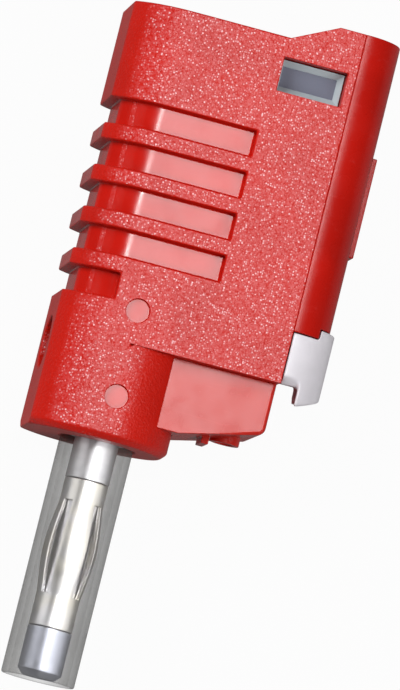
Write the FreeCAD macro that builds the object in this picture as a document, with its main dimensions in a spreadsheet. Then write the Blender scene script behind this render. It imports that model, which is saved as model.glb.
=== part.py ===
import FreeCAD, Part
import math
import os
import Sketcher

# Stackable 4 mm plug: a flat moulded housing with a sprung pin at its foot, one socket in its top
# and one across its foot, a sprung wire terminal at its right end, and a clear slip-on pin sleeve.
# The pieces are drawn standing on the foot: X to the right, Y to the back, Z up, with the pin's
# axis on Z and the foot's underside at Z = 0. Their placement lays the plug on its flat back.

# Driving sizes
SIZES = (
    # Moulded housing
    ("body_thick", 11.35, "front face to back face"),
    ("flat_left", 6.05, "pin axis to the flat left end"),
    ("round_left", 1.5, "pin axis to the left round's axis"),
    ("body_top", 35.0, "foot to the top face around the top socket"),
    ("hump_rise", 1.85, "top face to the top of the terminal end"),
    ("slope_end", 2.15, "joint line leftwards to the head of the sloped top"),
    ("slope_long", 3.7, "length of the sloped top"),
    ("ledge_height", 7.9, "foot to the ledge under the terminal end"),
    ("split_right", 12.5, "pin axis to the end cover's joint line"),
    ("chamber_room", 0.975, "sockets to the chamber's front and back walls"),
    ("roof_wall", 0.9, "housing wall over the chamber"),
    ("chamber_left", 3.4, "pin axis to the chamber's left wall"),
    ("chamber_up", 4.1, "ledge to the chamber's floor"),
    ("well_floor", 2.4, "foot to the floor of the contact block's well"),
    ("well_room", 0.625, "cross socket's seat to the well's front and back walls"),
    ("foot_bevel", 0.5, "bevel of the foot's right edge"),
    # Finger grip
    ("groove_drop", 7.95, "top face to the upper edge of the first groove"),
    ("groove_width", 2.15, "height of one groove"),
    ("groove_pitch", 3.46, "groove to groove"),
    ("groove_deep", 0.9, "depth of a groove"),
    ("groove_reach", 5.8, "pin axis to the right end of a long groove"),
    ("groove_count", 4, "number of long grooves"),
    ("short_reach", 2.05, "pin axis leftwards to the short groove's end"),
    ("dimple_wide", 1.95, "diameter of a round dimple"),
    ("dimple_deep", 0.35, "depth of a round dimple"),
    ("dimple_drop", 3.39, "cross socket's axis down to the lower dimple"),
    ("dimple_rise", 3.65, "cross socket's axis up to the upper dimple"),
    # Release window and button
    ("window_inset", 0.7, "joint line to the window's right edge"),
    ("window_width", 5.3, "width of the window"),
    ("window_drop", 1.6, "top face to the window's upper edge"),
    ("window_high", 2.8, "height of the window"),
    ("button_sink", 1.0, "front face to the button's face"),
    ("button_gap", 0.08, "gap round the button"),
    ("button_dish", 0.45, "depth of the dish for a screwdriver tip"),
    ("dish_slope", 0.38, "width of the dish's sloped sides"),
    ("button_rim", 0.1, "flat rim round the dish"),
    ("flange_extra", 0.4, "how far the button's flange stands out"),
    ("flange_thick", 0.6, "thickness of the button's flange"),
    # Smooth end cover
    ("end_long", 3.3, "joint line to the flat right end"),
    ("end_round", 3.0, "rounding of the right end's corners"),
    ("cover_notch", 0.8, "height of the notch in the cover's lower edge"),
    ("notch_in", 2.2, "joint line to the notch"),
    ("cover_wall", 1.0, "wall of the wire duct at the right end"),
    ("pad_up", 7.3, "cover's lower edge to the raised pad"),
    ("pad_high", 8.3, "height of the raised pad"),
    ("pad_half", 2.3, "half width of the raised pad"),
    ("pad_proud", 0.45, "how far the pad stands out"),
    ("tongue_long", 1.2, "length of the cover's two tongues"),
    ("tongue_thick", 0.8, "thickness of the cover's tongues"),
    ("tongue_up", 2.0, "chamber's floor to the lower end of the tongues"),
    ("tongue_high", 13.0, "height of the tongues"),
    ("fit_gap", 0.05, "gap of a tongue, rail or turned piece in its seat"),
    # Wire clip
    ("clip_proud", 0.5, "how far the clip stands out past the cover"),
    ("clip_tall", 4.3, "ledge to the cover's lower edge, with the clip between"),
    ("clip_gap", 0.1, "gap between the clip and what it closes against"),
    ("wire_slot", 2.8, "width of the clip's wire slot"),
    ("wire_wall", 1.3, "clip's right end to the end of the wire slot"),
    ("lip_in", 1.4, "joint line to the inner face of the nail lip"),
    ("lip_drop", 1.5, "clip's lower face to the lip's lower corner"),
    ("lip_rise", 0.5, "slope of the lip's lower face"),
    ("lip_half", 2.25, "half width of the lip"),
    ("lip_bevel", 0.3, "bevel of the lip's lower corner"),
    ("rail_long", 3.2, "length of the clip's rails in the housing"),
    ("rail_side", 0.8, "wire slot to the rails"),
    ("rail_thick", 1.0, "thickness of a rail"),
    ("rail_up", 1.2, "clip's lower face to the rails"),
    ("rail_high", 2.1, "height of a rail"),
    # Carrier of the cross socket
    ("block_inset", 0.05, "joint line to the carrier's right end"),
    ("block_side", 1.5, "front face back to the carrier's front"),
    ("block_tall", 5.8, "ledge down to the carrier's lower edge at the housing"),
    ("block_rise", 1.6, "slope of the carrier's underside"),
    ("block_round", 0.7, "rounding of the carrier's lower right edge"),
    ("neck_half", 3.0, "half depth of the carrier's neck"),
    ("neck_tall", 5.3, "ledge down to the underside of the neck"),
    ("probe_in", 2.45, "carrier's right end to the round probe hole"),
    ("probe_wide", 1.5, "diameter of the probe hole"),
    ("probe_rim", 2.4, "diameter of the probe hole's rim"),
    ("probe_drop", 0.3, "how far the rim stands below the underside"),
    ("tooth_in", 4.5, "carrier's right end to the small tooth underneath"),
    # Sockets, block and bar
    ("socket_bore", 4.08, "bore of both sockets"),
    ("socket_wall", 0.56, "wall of both sockets"),
    ("mouth_extra", 0.11, "how much wider the housing's hole is, on the radius"),
    ("socket_lead", 0.3, "chamfer at a socket's mouth"),
    ("cross_drop", 0.95, "ledge down to the cross socket's axis"),
    ("cross_inset", 0.85, "carrier's right end to the cross socket's closed end"),
    ("cross_end", 0.7, "thickness of the cross socket's closed end"),
    ("top_base", 1.5, "solid base of the top socket under its bore"),
    ("stud_wide", 2.96, "diameter of the studs in the contact block"),
    ("stud_long", 2.2, "length of the top socket's stud in the block"),
    ("block_gap", 0.2, "gap between the contact block and its well"),
    ("bar_thick", 0.8, "thickness of the current bar"),
    ("bar_half", 2.4, "half width of the bar at the block"),
    ("bar_arm_up", 4.0, "chamber's floor to the lower edge of the bar's arm"),
    ("bar_arm_high", 4.5, "height of the bar's arm"),
    ("bar_long", 18.0, "chamber's floor to the bar's upper end"),
    ("clamp_inset", 0.65, "window's left edge to the clamp spring"),
    ("clamp_wide", 4.0, "width of the clamp spring"),
    ("clamp_thick", 0.4, "thickness of the clamp spring"),
    ("clamp_drop", 9.6, "window's lower edge to the axis of the spring's bend"),
    ("clamp_back", 6.0, "spring's bend to the top of its back leg"),
    ("clamp_over", 2.6, "window's lower edge to the top of the front leg"),
    ("clamp_reach", 2.2, "middle plane to the spring's front face"),
    ("washer_thick", 0.5, "thickness of the lock washer"),
    ("washer_ring", 0.92, "width of the lock washer's ring"),
    ("washer_split", 0.6, "gap in the lock washer"),
    # Pin, basket and sleeve
    ("pin_wide", 3.6, "diameter of the pin"),
    ("pin_end", 19.3, "foot to the pin's tip"),
    ("waist_deep", 0.37, "depth of the pin's waist under the basket"),
    ("pin_lead", 0.5, "chamfer at the pin's tip"),
    ("collar_rise", 0.3, "foot up to the collar's end"),
    ("basket_top", 3.1, "foot down to the basket's upper end"),
    ("basket_long", 12.2, "length of the basket"),
    ("leaf_drop", 1.9, "basket's upper end to the leaves"),
    ("leaf_long", 7.6, "length of the leaves"),
    ("leaf_thick", 0.3, "thickness of the basket's sheet"),
    ("leaf_bow", 0.38, "how far the leaves bow out"),
    ("leaf_slot", 0.7, "gap between two leaves"),
    ("leaf_count", 4, "number of leaves"),
    ("sleeve_room", 0.29, "leaves to the sleeve's bore"),
    ("sleeve_wall", 0.55, "wall of the clear sleeve"),
    ("sleeve_over", 0.2, "how far the sleeve reaches past the pin's tip"),
    ("sleeve_seat", 1.5, "depth of the sleeve's recess in the foot"),
    ("sleeve_gap", 0.15, "gap round the sleeve in its recess"),
    ("sleeve_bevel", 0.3, "bevel of the sleeve's open end"),
)

document = FreeCAD.newDocument("StackablePlug")
sheet = document.addObject("Spreadsheet::Sheet", "Sizes")
for row, (name, number, note) in enumerate(SIZES, start=1):
    sheet.set(f"A{row}", name)
    sheet.set(f"B{row}", str(number))
    sheet.setAlias(f"B{row}", name)
    sheet.set(f"C{row}", note)
document.recompute()


class Size:
    """A length that knows its value and how it is worked out from the sheet."""

    def __init__(self, value, text):
        self.value = value
        self.text = text

    def __add__(self, other):
        other = as_size(other)
        return Size(self.value + other.value, f"({self.text} + {other.text})")

    def __sub__(self, other):
        other = as_size(other)
        return Size(self.value - other.value, f"({self.text} - {other.text})")

    def __mul__(self, other):
        other = as_size(other)
        return Size(self.value * other.value, f"({self.text} * {other.text})")

    def __truediv__(self, other):
        other = as_size(other)
        return Size(self.value / other.value, f"({self.text} / {other.text})")

    def __neg__(self):
        return Size(-self.value, f"(0 - {self.text})")


def as_size(number):
    """Takes a plain number as a size."""
    return number if isinstance(number, Size) else Size(float(number), f"({number})")


def root(size):
    """The square root of a size."""
    return Size(math.sqrt(size.value), f"sqrt({size.text})")


def sheet_size(name):
    """One driving size from the sheet."""
    return Size(float(sheet.get(name)), f"Sizes.{name}")


ZERO = as_size(0)
S = type("SheetSizes", (), {name: sheet_size(name) for name, number, note in SIZES})

# How far a cut is drawn past what it cuts
OVERCUT = as_size(1)
HALF_TURN = 180

# Housing
HALF = S.body_thick / 2
SPLIT = S.split_right
HUMP_TOP = S.body_top + S.hump_rise
SLOPE_HEAD = SPLIT - S.slope_end
CHAMBER_FLOOR = S.ledge_height + S.chamber_up
CHAMBER_ROOF = S.body_top - S.roof_wall
GROOVE_TOP = S.body_top - S.groove_drop
WINDOW_RIGHT = SPLIT - S.window_inset
WINDOW_LEFT = WINDOW_RIGHT - S.window_width
WINDOW_TOP = S.body_top - S.window_drop
WINDOW_LOW = WINDOW_TOP - S.window_high

# Cover and clip
END_RIGHT = SPLIT + S.end_long
CLIP_END = END_RIGHT + S.clip_proud
COVER_LOW = S.ledge_height + S.clip_tall
NOTCH_LEFT = SPLIT + S.notch_in
RAIL_IN = S.wire_slot / 2 + S.rail_side
RAIL_LOW = S.ledge_height + S.rail_up
LIP_LEFT = SPLIT + S.lip_in
LIP_LOW = S.ledge_height - S.lip_drop
LIP_HEEL = LIP_LOW + S.lip_rise
WIRE_REACH = CLIP_END - S.wire_wall

# Sockets, and the chamber and well round them
CROSS_HEIGHT = S.ledge_height - S.cross_drop
BORE_R = S.socket_bore / 2
SOCKET_R = BORE_R + S.socket_wall
MOUTH_R = BORE_R + S.mouth_extra
STUD_R = S.stud_wide / 2
STUD_HOLE_R = STUD_R + S.fit_gap
SOCKET_SEAT_R = SOCKET_R + S.fit_gap
CHAMBER_HALF = SOCKET_R + S.chamber_room
WELL_HALF = SOCKET_SEAT_R + S.well_room

# Carrier, and what is stacked on the contact block
BLOCK_RIGHT = SPLIT - S.block_inset
BLOCK_LEFT = S.chamber_left + S.clip_gap
BLOCK_LOW = S.ledge_height - S.block_tall
BLOCK_HEEL = BLOCK_LOW + S.block_rise
NECK_LOW = S.ledge_height - S.neck_tall
PROBE_RIGHT = BLOCK_RIGHT - S.probe_in
TOOTH_LEFT = BLOCK_RIGHT - S.tooth_in
CROSS_RIGHT = BLOCK_RIGHT - S.cross_inset
WASHER_LOW = CHAMBER_FLOOR + S.bar_thick
WASHER_R = STUD_HOLE_R + S.washer_ring
SHOULDER = WASHER_LOW + S.washer_thick
TOP_BOTTOM = SHOULDER + S.top_base

# Bar, clamp spring and button
BAR_FRONT = CHAMBER_HALF - S.clip_gap - S.bar_thick
CLAMP_LEFT = WINDOW_LEFT + S.clamp_inset
CLAMP_BEND = WINDOW_LOW - S.clamp_drop
CLAMP_BACK = CLAMP_BEND + S.clamp_back
CLAMP_FRONT = WINDOW_LOW + S.clamp_over
ARM_LOW = CHAMBER_FLOOR + S.bar_arm_up
ARM_HIGH = ARM_LOW + S.bar_arm_high
BAR_TOP = CHAMBER_FLOOR + S.bar_long
BUTTON_FACE = HALF - S.button_sink
FLANGE_FRONT = CHAMBER_HALF - S.fit_gap

# Pin, basket and sleeve
PIN_R = S.pin_wide / 2
CORE_R = PIN_R - S.waist_deep
BASKET_R = CORE_R + S.fit_gap
BASKET_END = S.basket_top + S.basket_long
LEAF_TOP = S.basket_top + S.leaf_drop
LEAF_END = LEAF_TOP + S.leaf_long
HALF_STEP = as_size(HALF_TURN) / S.leaf_count
BULGE_R = BASKET_R + S.leaf_thick + S.leaf_bow
SLEEVE_BORE_R = BULGE_R + S.sleeve_room
SLEEVE_R = SLEEVE_BORE_R + S.sleeve_wall
COLLAR_R = SLEEVE_BORE_R - S.fit_gap
SLEEVE_END = S.pin_end + S.sleeve_over
TAIL_END = CROSS_HEIGHT - SOCKET_SEAT_R - S.clip_gap

# A leaf's bow: how far along the leaf, and which share of the bow it has there
LEAF_BOW = ((0.15, 0.6), (0.38, 1.0), (0.62, 1.0), (0.85, 0.6))

# Middle of the plug's footprint
MIDDLE_X = (CLIP_END - S.flat_left) / 2
MIDDLE_Z = (HUMP_TOP - SLEEVE_END) / 2

# Named pieces, in the order in which they are made
pieces = []


def bind(thing, path, size):
    """Ties one property of an object to the sheet."""
    thing.setExpression(path, size.text)


def new_piece(name):
    """A body that stands on the foot in its own frame and is laid on its back."""
    body = document.addObject("PartDesign::Body", name)
    body.Label = name
    body.Placement.Rotation = FreeCAD.Rotation(FreeCAD.Vector(1, 0, 0), -90)
    bind(body, ".Placement.Base.x", -MIDDLE_X)
    bind(body, ".Placement.Base.y", -MIDDLE_Z)
    bind(body, ".Placement.Base.z", HALF)
    pieces.append(body)
    return body


def origin_part(body, role):
    """A plane or axis of the body's own origin."""
    return next(item for item in body.Origin.OriginFeatures if item.Role == role)


def new_sketch(body, name, plane, lift=ZERO):
    """A sketch on one of the body's planes, moved along the plane's normal by lift."""
    sketch = body.newObject("Sketcher::SketchObject", name)
    sketch.AttachmentSupport = [(origin_part(body, plane), "")]
    sketch.MapMode = "FlatFace"
    bind(sketch, "AttachmentOffset.Base.z", lift)
    document.recompute()
    return sketch


def level(body, name, height=ZERO):
    """A sketch on a level plane at a height, seen from above: X right, Y to the back."""
    return new_sketch(body, name, "XY_Plane", height)


def upright(body, name, forward=ZERO):
    """A sketch on a plane that faces the front: X right, Z up."""
    return new_sketch(body, name, "XZ_Plane", forward)


def sideways(body, name, right=ZERO):
    """A sketch on a plane that faces right: Y to the back, Z up."""
    return new_sketch(body, name, "YZ_Plane", right)


def hold(sketch, kind, geometry, point, size):
    """Sets one coordinate or radius of the sketch from the sheet."""
    if kind == "Radius":
        number = sketch.addConstraint(Sketcher.Constraint(kind, geometry, size.value))
    else:
        number = sketch.addConstraint(Sketcher.Constraint(kind, geometry, point, size.value))
    sketch.setExpression(f"Constraints[{number}]", size.text)


def flat(size):
    """The sketch point of a pair of sizes."""
    return FreeCAD.Vector(size[0].value, size[1].value, 0)


def arc_through(start, end, radius, bend):
    """The arc from start to end; bend is 1 if it turns to the left, -1 to the right."""
    chord = end - start
    middle = (start + end) * 0.5
    normal = FreeCAD.Vector(-chord.y, chord.x, 0).normalize()
    rise = math.sqrt(max(radius * radius - chord.Length * chord.Length / 4, 0))
    centre = middle + normal * rise * bend
    outwards = (middle - centre)
    if outwards.Length < 1e-9:
        outwards = normal * -bend
    return Part.Arc(start, centre + outwards.normalize() * radius, end)


def outline(sketch, corners):
    """A closed outline. A corner is (x, y), or (x, y, radius, bend) where an arc leads to it."""
    points = [(as_size(corner[0]), as_size(corner[1])) for corner in corners]
    edges = []
    for index, corner in enumerate(corners):
        start, end = flat(points[index - 1]), flat(points[index])
        if len(corner) == 4:
            geometry = arc_through(start, end, corner[2].value, corner[3])
        else:
            geometry = Part.LineSegment(start, end)
        edges.append(sketch.addGeometry(geometry, False))
    ends = []
    for index, corner in enumerate(corners):
        # An arc is stored counter-clockwise, so one that turns right has its ends swapped
        ends.append((2, 1) if len(corner) == 4 and corner[3] < 0 else (1, 2))
    for index, edge in enumerate(edges):
        following = (index + 1) % len(edges)
        meets = edges[following], ends[following][0]
        joint = Sketcher.Constraint("Coincident", edge, ends[index][1], meets[0], meets[1])
        sketch.addConstraint(joint)
        hold(sketch, "DistanceX", edge, ends[index][1], points[index][0])
        hold(sketch, "DistanceY", edge, ends[index][1], points[index][1])
        if len(corners[index]) == 4:
            hold(sketch, "Radius", edge, 0, corners[index][2])
    document.recompute()


def box_outline(sketch, left, low, right, high):
    """A rectangle between two corners."""
    outline(sketch, [(left, low), (right, low), (right, high), (left, high)])


def ring_outline(sketch, across, along, radius):
    """A circle round a point."""
    circle = Part.Circle(flat((across, along)), FreeCAD.Vector(0, 0, 1), radius.value)
    number = sketch.addGeometry(circle, False)
    hold(sketch, "DistanceX", number, 3, across)
    hold(sketch, "DistanceY", number, 3, along)
    hold(sketch, "Radius", number, 0, radius)
    document.recompute()


def finish_feature(body, feature, sketch, grows):
    """Recomputes a new feature and makes sure that it added or took material."""
    sketch.Visibility = False
    before = body.Shape.Volume if body.Shape and not body.Shape.isNull() else 0.0
    body.Tip = feature
    document.recompute()
    gained = body.Shape.Volume - before
    if "Invalid" in feature.State or "Error" in feature.State or (gained > 0) != grows or abs(gained) < 1e-6:
        raise RuntimeError(f"{body.Label}: {feature.Name} changed the volume by {gained:.6f}")
    return feature


def extrude(body, sketch, long, kind="Pad", back=False, both=False):
    """Pads or pockets a sketch. A pad goes along the normal and a pocket against it, or back."""
    feature = body.newObject(f"PartDesign::{kind}", f"{kind}_{sketch.Name}")
    feature.Profile = sketch
    bind(feature, "Length", long)
    feature.Reversed = back
    feature.Midplane = both
    return finish_feature(body, feature, sketch, kind == "Pad")


def turn(body, sketch, axis="V_Axis", kind="Revolution"):
    """Turns a sketch once round one of its own axes."""
    feature = body.newObject(f"PartDesign::{kind}", f"{kind}_{sketch.Name}")
    feature.Profile = sketch
    feature.ReferenceAxis = (sketch, [axis])
    feature.Angle = 360
    return finish_feature(body, feature, sketch, kind == "Revolution")


def dress(body, kind, name, size, chosen):
    """Rounds or chamfers the edges of the body that a test on each edge's box picks."""
    base = body.Tip
    names = [f"Edge{number}" for number, edge in enumerate(base.Shape.Edges, start=1) if chosen(edge)]
    if not names:
        raise RuntimeError(f"{body.Label}: no edge for {name}")
    feature = body.newObject(f"PartDesign::{kind}", name)
    feature.Base = (base, names)
    bind(feature, "Radius" if kind == "Fillet" else "Size", size)
    body.Tip = feature
    document.recompute()
    return feature


def near(number, size):
    """Whether a coordinate lies on a size."""
    return abs(number - size.value) < 1e-4


def grip_side(depth, reach):
    """The left-hand part of the housing's outline from above, drawn in by depth."""
    radius = HALF - depth
    across = S.flat_left - depth
    side = root(radius * radius - (across - S.round_left) * (across - S.round_left))
    if reach.value < -S.round_left.value:
        start = root(radius * radius - (reach + S.round_left) * (reach + S.round_left))
        return [(reach, start), (-across, side, radius, 1), (-across, -side), (reach, -start, radius, 1)]
    return [
        (reach, radius),
        (-S.round_left, radius),
        (-across, side, radius, 1),
        (-across, -side),
        (-S.round_left, -radius, radius, 1),
        (reach, -radius),
    ]


# Housing: one moulding, round to the left, flat front and back, open to the right
def make_housing():
    body = new_piece("housing")

    foot = level(body, "foot_section")
    side = grip_side(ZERO, ZERO)
    outline(foot, [(ZERO, HALF, HALF, 1)] + side[1:] + [(HALF, ZERO, HALF, 1)])
    extrude(body, foot, S.ledge_height)
    dress(body, "Chamfer", "foot_edge", S.foot_bevel, is_foot_edge)

    upper = level(body, "upper_section", S.ledge_height)
    outline(upper, grip_side(ZERO, SPLIT))
    extrude(body, upper, HUMP_TOP - S.ledge_height)

    above = upright(body, "sloped_top")
    left, over = -S.flat_left - OVERCUT, HUMP_TOP + OVERCUT
    outline(above, [(left, S.body_top), (SLOPE_HEAD - S.slope_long, S.body_top), (SLOPE_HEAD, HUMP_TOP),
                    (SLOPE_HEAD, over), (left, over)])
    extrude(body, above, S.body_thick + OVERCUT, "Pocket", both=True)

    # Finger grip: C-shaped grooves round the left end
    groove = level(body, "long_groove", GROOVE_TOP)
    cut_groove(groove, S.groove_reach)
    first = extrude(body, groove, S.groove_width, "Pocket")
    rows = body.newObject("PartDesign::LinearPattern", "groove_rows")
    rows.Originals = [first]
    rows.Direction = (origin_part(body, "Z_Axis"), [""])
    rows.Reversed = True
    bind(rows, "Length", S.groove_pitch * (S.groove_count - 1))
    bind(rows, "Occurrences", S.groove_count)
    finish_feature(body, rows, groove, False)
    short = level(body, "short_groove", GROOVE_TOP - S.groove_pitch * S.groove_count)
    cut_groove(short, -S.short_reach)
    extrude(body, short, S.groove_width, "Pocket")

    # Two round dimples over the pin's axis
    dimples = upright(body, "dimples", HALF)
    ring_outline(dimples, ZERO, CROSS_HEIGHT - S.dimple_drop, S.dimple_wide / 2)
    ring_outline(dimples, ZERO, CROSS_HEIGHT + S.dimple_rise, S.dimple_wide / 2)
    extrude(body, dimples, S.dimple_deep, "Pocket")

    # Terminal chamber, open to the right, and the well for the contact block below it
    chamber = sideways(body, "chamber", SPLIT)
    box_outline(chamber, -CHAMBER_HALF, CHAMBER_FLOOR, CHAMBER_HALF, CHAMBER_ROOF)
    extrude(body, chamber, SPLIT + S.chamber_left, "Pocket")
    well = level(body, "well", CHAMBER_FLOOR)
    box_outline(well, -S.chamber_left, -WELL_HALF, S.chamber_left, WELL_HALF)
    extrude(body, well, CHAMBER_FLOOR - S.well_floor, "Pocket")
    neck = sideways(body, "neck_opening", HALF)
    box_outline(neck, -S.neck_half, NECK_LOW, S.neck_half, S.ledge_height)
    extrude(body, neck, HALF - S.chamber_left, "Pocket")

    # Window for the release button
    window = upright(body, "window", HALF)
    box_outline(window, WINDOW_LEFT, WINDOW_LOW, WINDOW_LEFT + S.window_width,
                WINDOW_LOW + S.window_high)
    extrude(body, window, HALF - CHAMBER_HALF, "Pocket")

    # Mouths of the two sockets, the pin's hole and the sleeve's recess
    top_mouth = level(body, "top_mouth", S.body_top)
    ring_outline(top_mouth, ZERO, ZERO, MOUTH_R)
    extrude(body, top_mouth, S.body_top - CHAMBER_ROOF, "Pocket")
    cross_mouth = sideways(body, "cross_mouth", -S.flat_left)
    ring_outline(cross_mouth, ZERO, CROSS_HEIGHT, MOUTH_R)
    extrude(body, cross_mouth, S.flat_left - S.chamber_left, "Pocket", back=True)
    cross_seat = sideways(body, "cross_seat", CROSS_RIGHT)
    ring_outline(cross_seat, ZERO, CROSS_HEIGHT, SOCKET_SEAT_R)
    extrude(body, cross_seat, CROSS_RIGHT - S.chamber_left, "Pocket")
    recess = level(body, "sleeve_recess")
    ring_outline(recess, ZERO, ZERO, SLEEVE_R + S.sleeve_gap)
    extrude(body, recess, S.sleeve_seat, "Pocket", back=True)
    pin_hole = level(body, "pin_hole", S.sleeve_seat)
    ring_outline(pin_hole, ZERO, ZERO, SLEEVE_BORE_R)
    extrude(body, pin_hole, S.well_floor - S.sleeve_seat, "Pocket", back=True)

    # Slots for the wire clip's rails
    slots = sideways(body, "rail_slots", SPLIT)
    low, high = RAIL_LOW - S.fit_gap, RAIL_LOW + S.rail_high + S.fit_gap
    inner, outer = RAIL_IN - S.fit_gap, RAIL_IN + S.rail_thick + S.fit_gap
    box_outline(slots, inner, low, outer, high)
    box_outline(slots, -outer, low, -inner, high)
    extrude(body, slots, S.rail_long + S.clip_gap, "Pocket")

    return body


def cut_groove(sketch, reach):
    """A C-shaped outline that takes the housing's skin off as far as reach."""
    inside = grip_side(S.groove_deep, reach)
    left, over = -S.flat_left - OVERCUT, HALF + OVERCUT
    outline(sketch, inside + [(reach, -over), (left, -over), (left, over), (reach, over)])


def is_foot_edge(edge):
    """The arcs at the right of the housing's underside."""
    box = edge.BoundBox
    return near(box.ZMin, ZERO) and near(box.ZMax, ZERO) and near(box.XMin, ZERO) and near(box.XMax, HALF)


# Smooth cover of the terminal end, with the wire's duct behind its rounded corners
def make_end_cover():
    body = new_piece("end_cover")

    section = level(body, "end_section", COVER_LOW)
    outline(section, end_outline(SPLIT, END_RIGHT, S.end_round))
    extrude(body, section, HUMP_TOP - COVER_LOW)

    notch = level(body, "clip_notch", COVER_LOW)
    box_outline(notch, NOTCH_LEFT, -HALF - OVERCUT, END_RIGHT + OVERCUT, HALF + OVERCUT)
    extrude(body, notch, S.cover_notch, "Pocket", back=True)

    duct = level(body, "wire_duct", COVER_LOW)
    box_outline(duct, SPLIT - OVERCUT, -CHAMBER_HALF, END_RIGHT - S.cover_wall, CHAMBER_HALF)
    extrude(body, duct, CHAMBER_ROOF - COVER_LOW, "Pocket", back=True)

    pad = sideways(body, "raised_pad", END_RIGHT)
    low = COVER_LOW + S.pad_up
    box_outline(pad, -S.pad_half, low, S.pad_half, low + S.pad_high)
    extrude(body, pad, S.pad_proud)

    # Two tongues that plug into the chamber
    tongues = sideways(body, "tongues", SPLIT)
    outer, inner = CHAMBER_HALF - S.fit_gap, CHAMBER_HALF - S.fit_gap - S.tongue_thick
    low = CHAMBER_FLOOR + S.tongue_up
    high = low + S.tongue_high
    box_outline(tongues, inner, low, outer, high)
    box_outline(tongues, -outer, low, -inner, high)
    extrude(body, tongues, S.tongue_long, back=True)
    roots = sideways(body, "tongue_roots", SPLIT)
    box_outline(roots, inner, low, CHAMBER_HALF + S.fit_gap, high)
    box_outline(roots, -CHAMBER_HALF - S.fit_gap, low, -inner, high)
    extrude(body, roots, S.tongue_thick)
    return body


def end_outline(left, right, radius):
    """A section of the terminal end: square to the left, with rounded corners to the right."""
    return [
        (left, HALF),
        (left, -HALF),
        (right - radius, -HALF),
        (right, radius - HALF, radius, 1),
        (right, HALF - radius),
        (right - radius, HALF, radius, 1),
    ]


# White clip that closes round the wire at the duct's mouth and is drawn out by its nail lip
def make_strain_relief_clip():
    body = new_piece("strain_relief_clip")
    left, top = SPLIT + S.clip_gap, COVER_LOW + S.cover_notch - S.clip_gap

    section = level(body, "clip_section", S.ledge_height)
    outline(section, end_outline(left, CLIP_END, S.end_round + S.clip_proud))
    extrude(body, section, top - S.ledge_height)

    step = upright(body, "clip_step")
    box_outline(step, left - OVERCUT, COVER_LOW - S.clip_gap, NOTCH_LEFT + S.clip_gap,
                COVER_LOW + OVERCUT)
    extrude(body, step, S.body_thick + OVERCUT, "Pocket", both=True)

    lip = upright(body, "nail_lip")
    outline(lip, [(LIP_LEFT, S.ledge_height), (LIP_LEFT, LIP_LOW), (CLIP_END, LIP_HEEL),
                  (CLIP_END, S.ledge_height)])
    extrude(body, lip, S.lip_half * 2, both=True)

    slot = level(body, "wire_slot", top)
    half = S.wire_slot / 2
    outline(slot, [(left - OVERCUT, half), (left - OVERCUT, -half), (WIRE_REACH - half, -half),
                   (WIRE_REACH, ZERO, half, 1), (WIRE_REACH - half, half, half, 1)])
    extrude(body, slot, top - LIP_LOW + OVERCUT, "Pocket")

    rails = sideways(body, "rails", left)
    outer, high = RAIL_IN + S.rail_thick, RAIL_LOW + S.rail_high
    box_outline(rails, RAIL_IN, RAIL_LOW, outer, high)
    box_outline(rails, -outer, RAIL_LOW, -RAIL_IN, high)
    extrude(body, rails, S.rail_long, back=True)

    dress(body, "Chamfer", "lip_edges", S.lip_bevel, is_lip_edge)
    return body


def is_lip_edge(edge):
    """The two sloped lower edges of the nail lip, front and back."""
    box = edge.BoundBox
    beside = near(abs(box.YMin), S.lip_half) and near(box.YMin, as_size(box.YMax))
    return beside and near(box.ZMax, LIP_HEEL)


# Carrier that closes the housing's side and holds the far end of the cross socket
def make_socket_carrier():
    body = new_piece("socket_carrier")

    block = upright(body, "carrier_block")
    outline(block, [(ZERO, S.ledge_height), (ZERO, BLOCK_LOW), (HALF, BLOCK_LOW),
                    (BLOCK_RIGHT, BLOCK_HEEL), (BLOCK_RIGHT, S.ledge_height)])
    extrude(body, block, (HALF - S.block_side) * 2, both=True)
    hollow = level(body, "foot_hollow", S.ledge_height)
    ring_outline(hollow, ZERO, ZERO, HALF)
    extrude(body, hollow, S.ledge_height, "Pocket")
    dress(body, "Fillet", "carrier_corner", S.block_round, is_carrier_corner)

    neck = sideways(body, "neck", BLOCK_LEFT)
    inner = S.neck_half - S.fit_gap
    box_outline(neck, -inner, NECK_LOW + S.fit_gap, inner, S.ledge_height - S.fit_gap)
    extrude(body, neck, HALF + OVERCUT - BLOCK_LEFT)
    seat = sideways(body, "socket_seat", BLOCK_LEFT)
    ring_outline(seat, ZERO, CROSS_HEIGHT, SOCKET_SEAT_R)
    extrude(body, seat, CROSS_RIGHT - BLOCK_LEFT, "Pocket", back=True)

    # Round probe hole with a low rim, and a small tooth beside it
    drop = BLOCK_LOW + S.block_rise / 2 - S.probe_drop
    rim = level(body, "probe_rim", drop)
    ring_outline(rim, PROBE_RIGHT, ZERO, S.probe_rim / 2)
    extrude(body, rim, S.block_rise)
    hole = level(body, "probe_hole", drop)
    ring_outline(hole, PROBE_RIGHT, ZERO, S.probe_wide / 2)
    extrude(body, hole, S.block_rise / 2 + S.probe_drop, "Pocket", back=True)
    tooth = level(body, "tooth", BLOCK_LOW)
    box_outline(tooth, TOOTH_LEFT, -S.probe_wide, TOOTH_LEFT + S.probe_drop * 2, S.probe_wide)
    extrude(body, tooth, S.block_rise)
    return body


def is_carrier_corner(edge):
    """The lower right edge of the carrier's block."""
    box = edge.BoundBox
    return near(box.XMin, BLOCK_RIGHT) and near(box.ZMax, BLOCK_HEEL)


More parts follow.
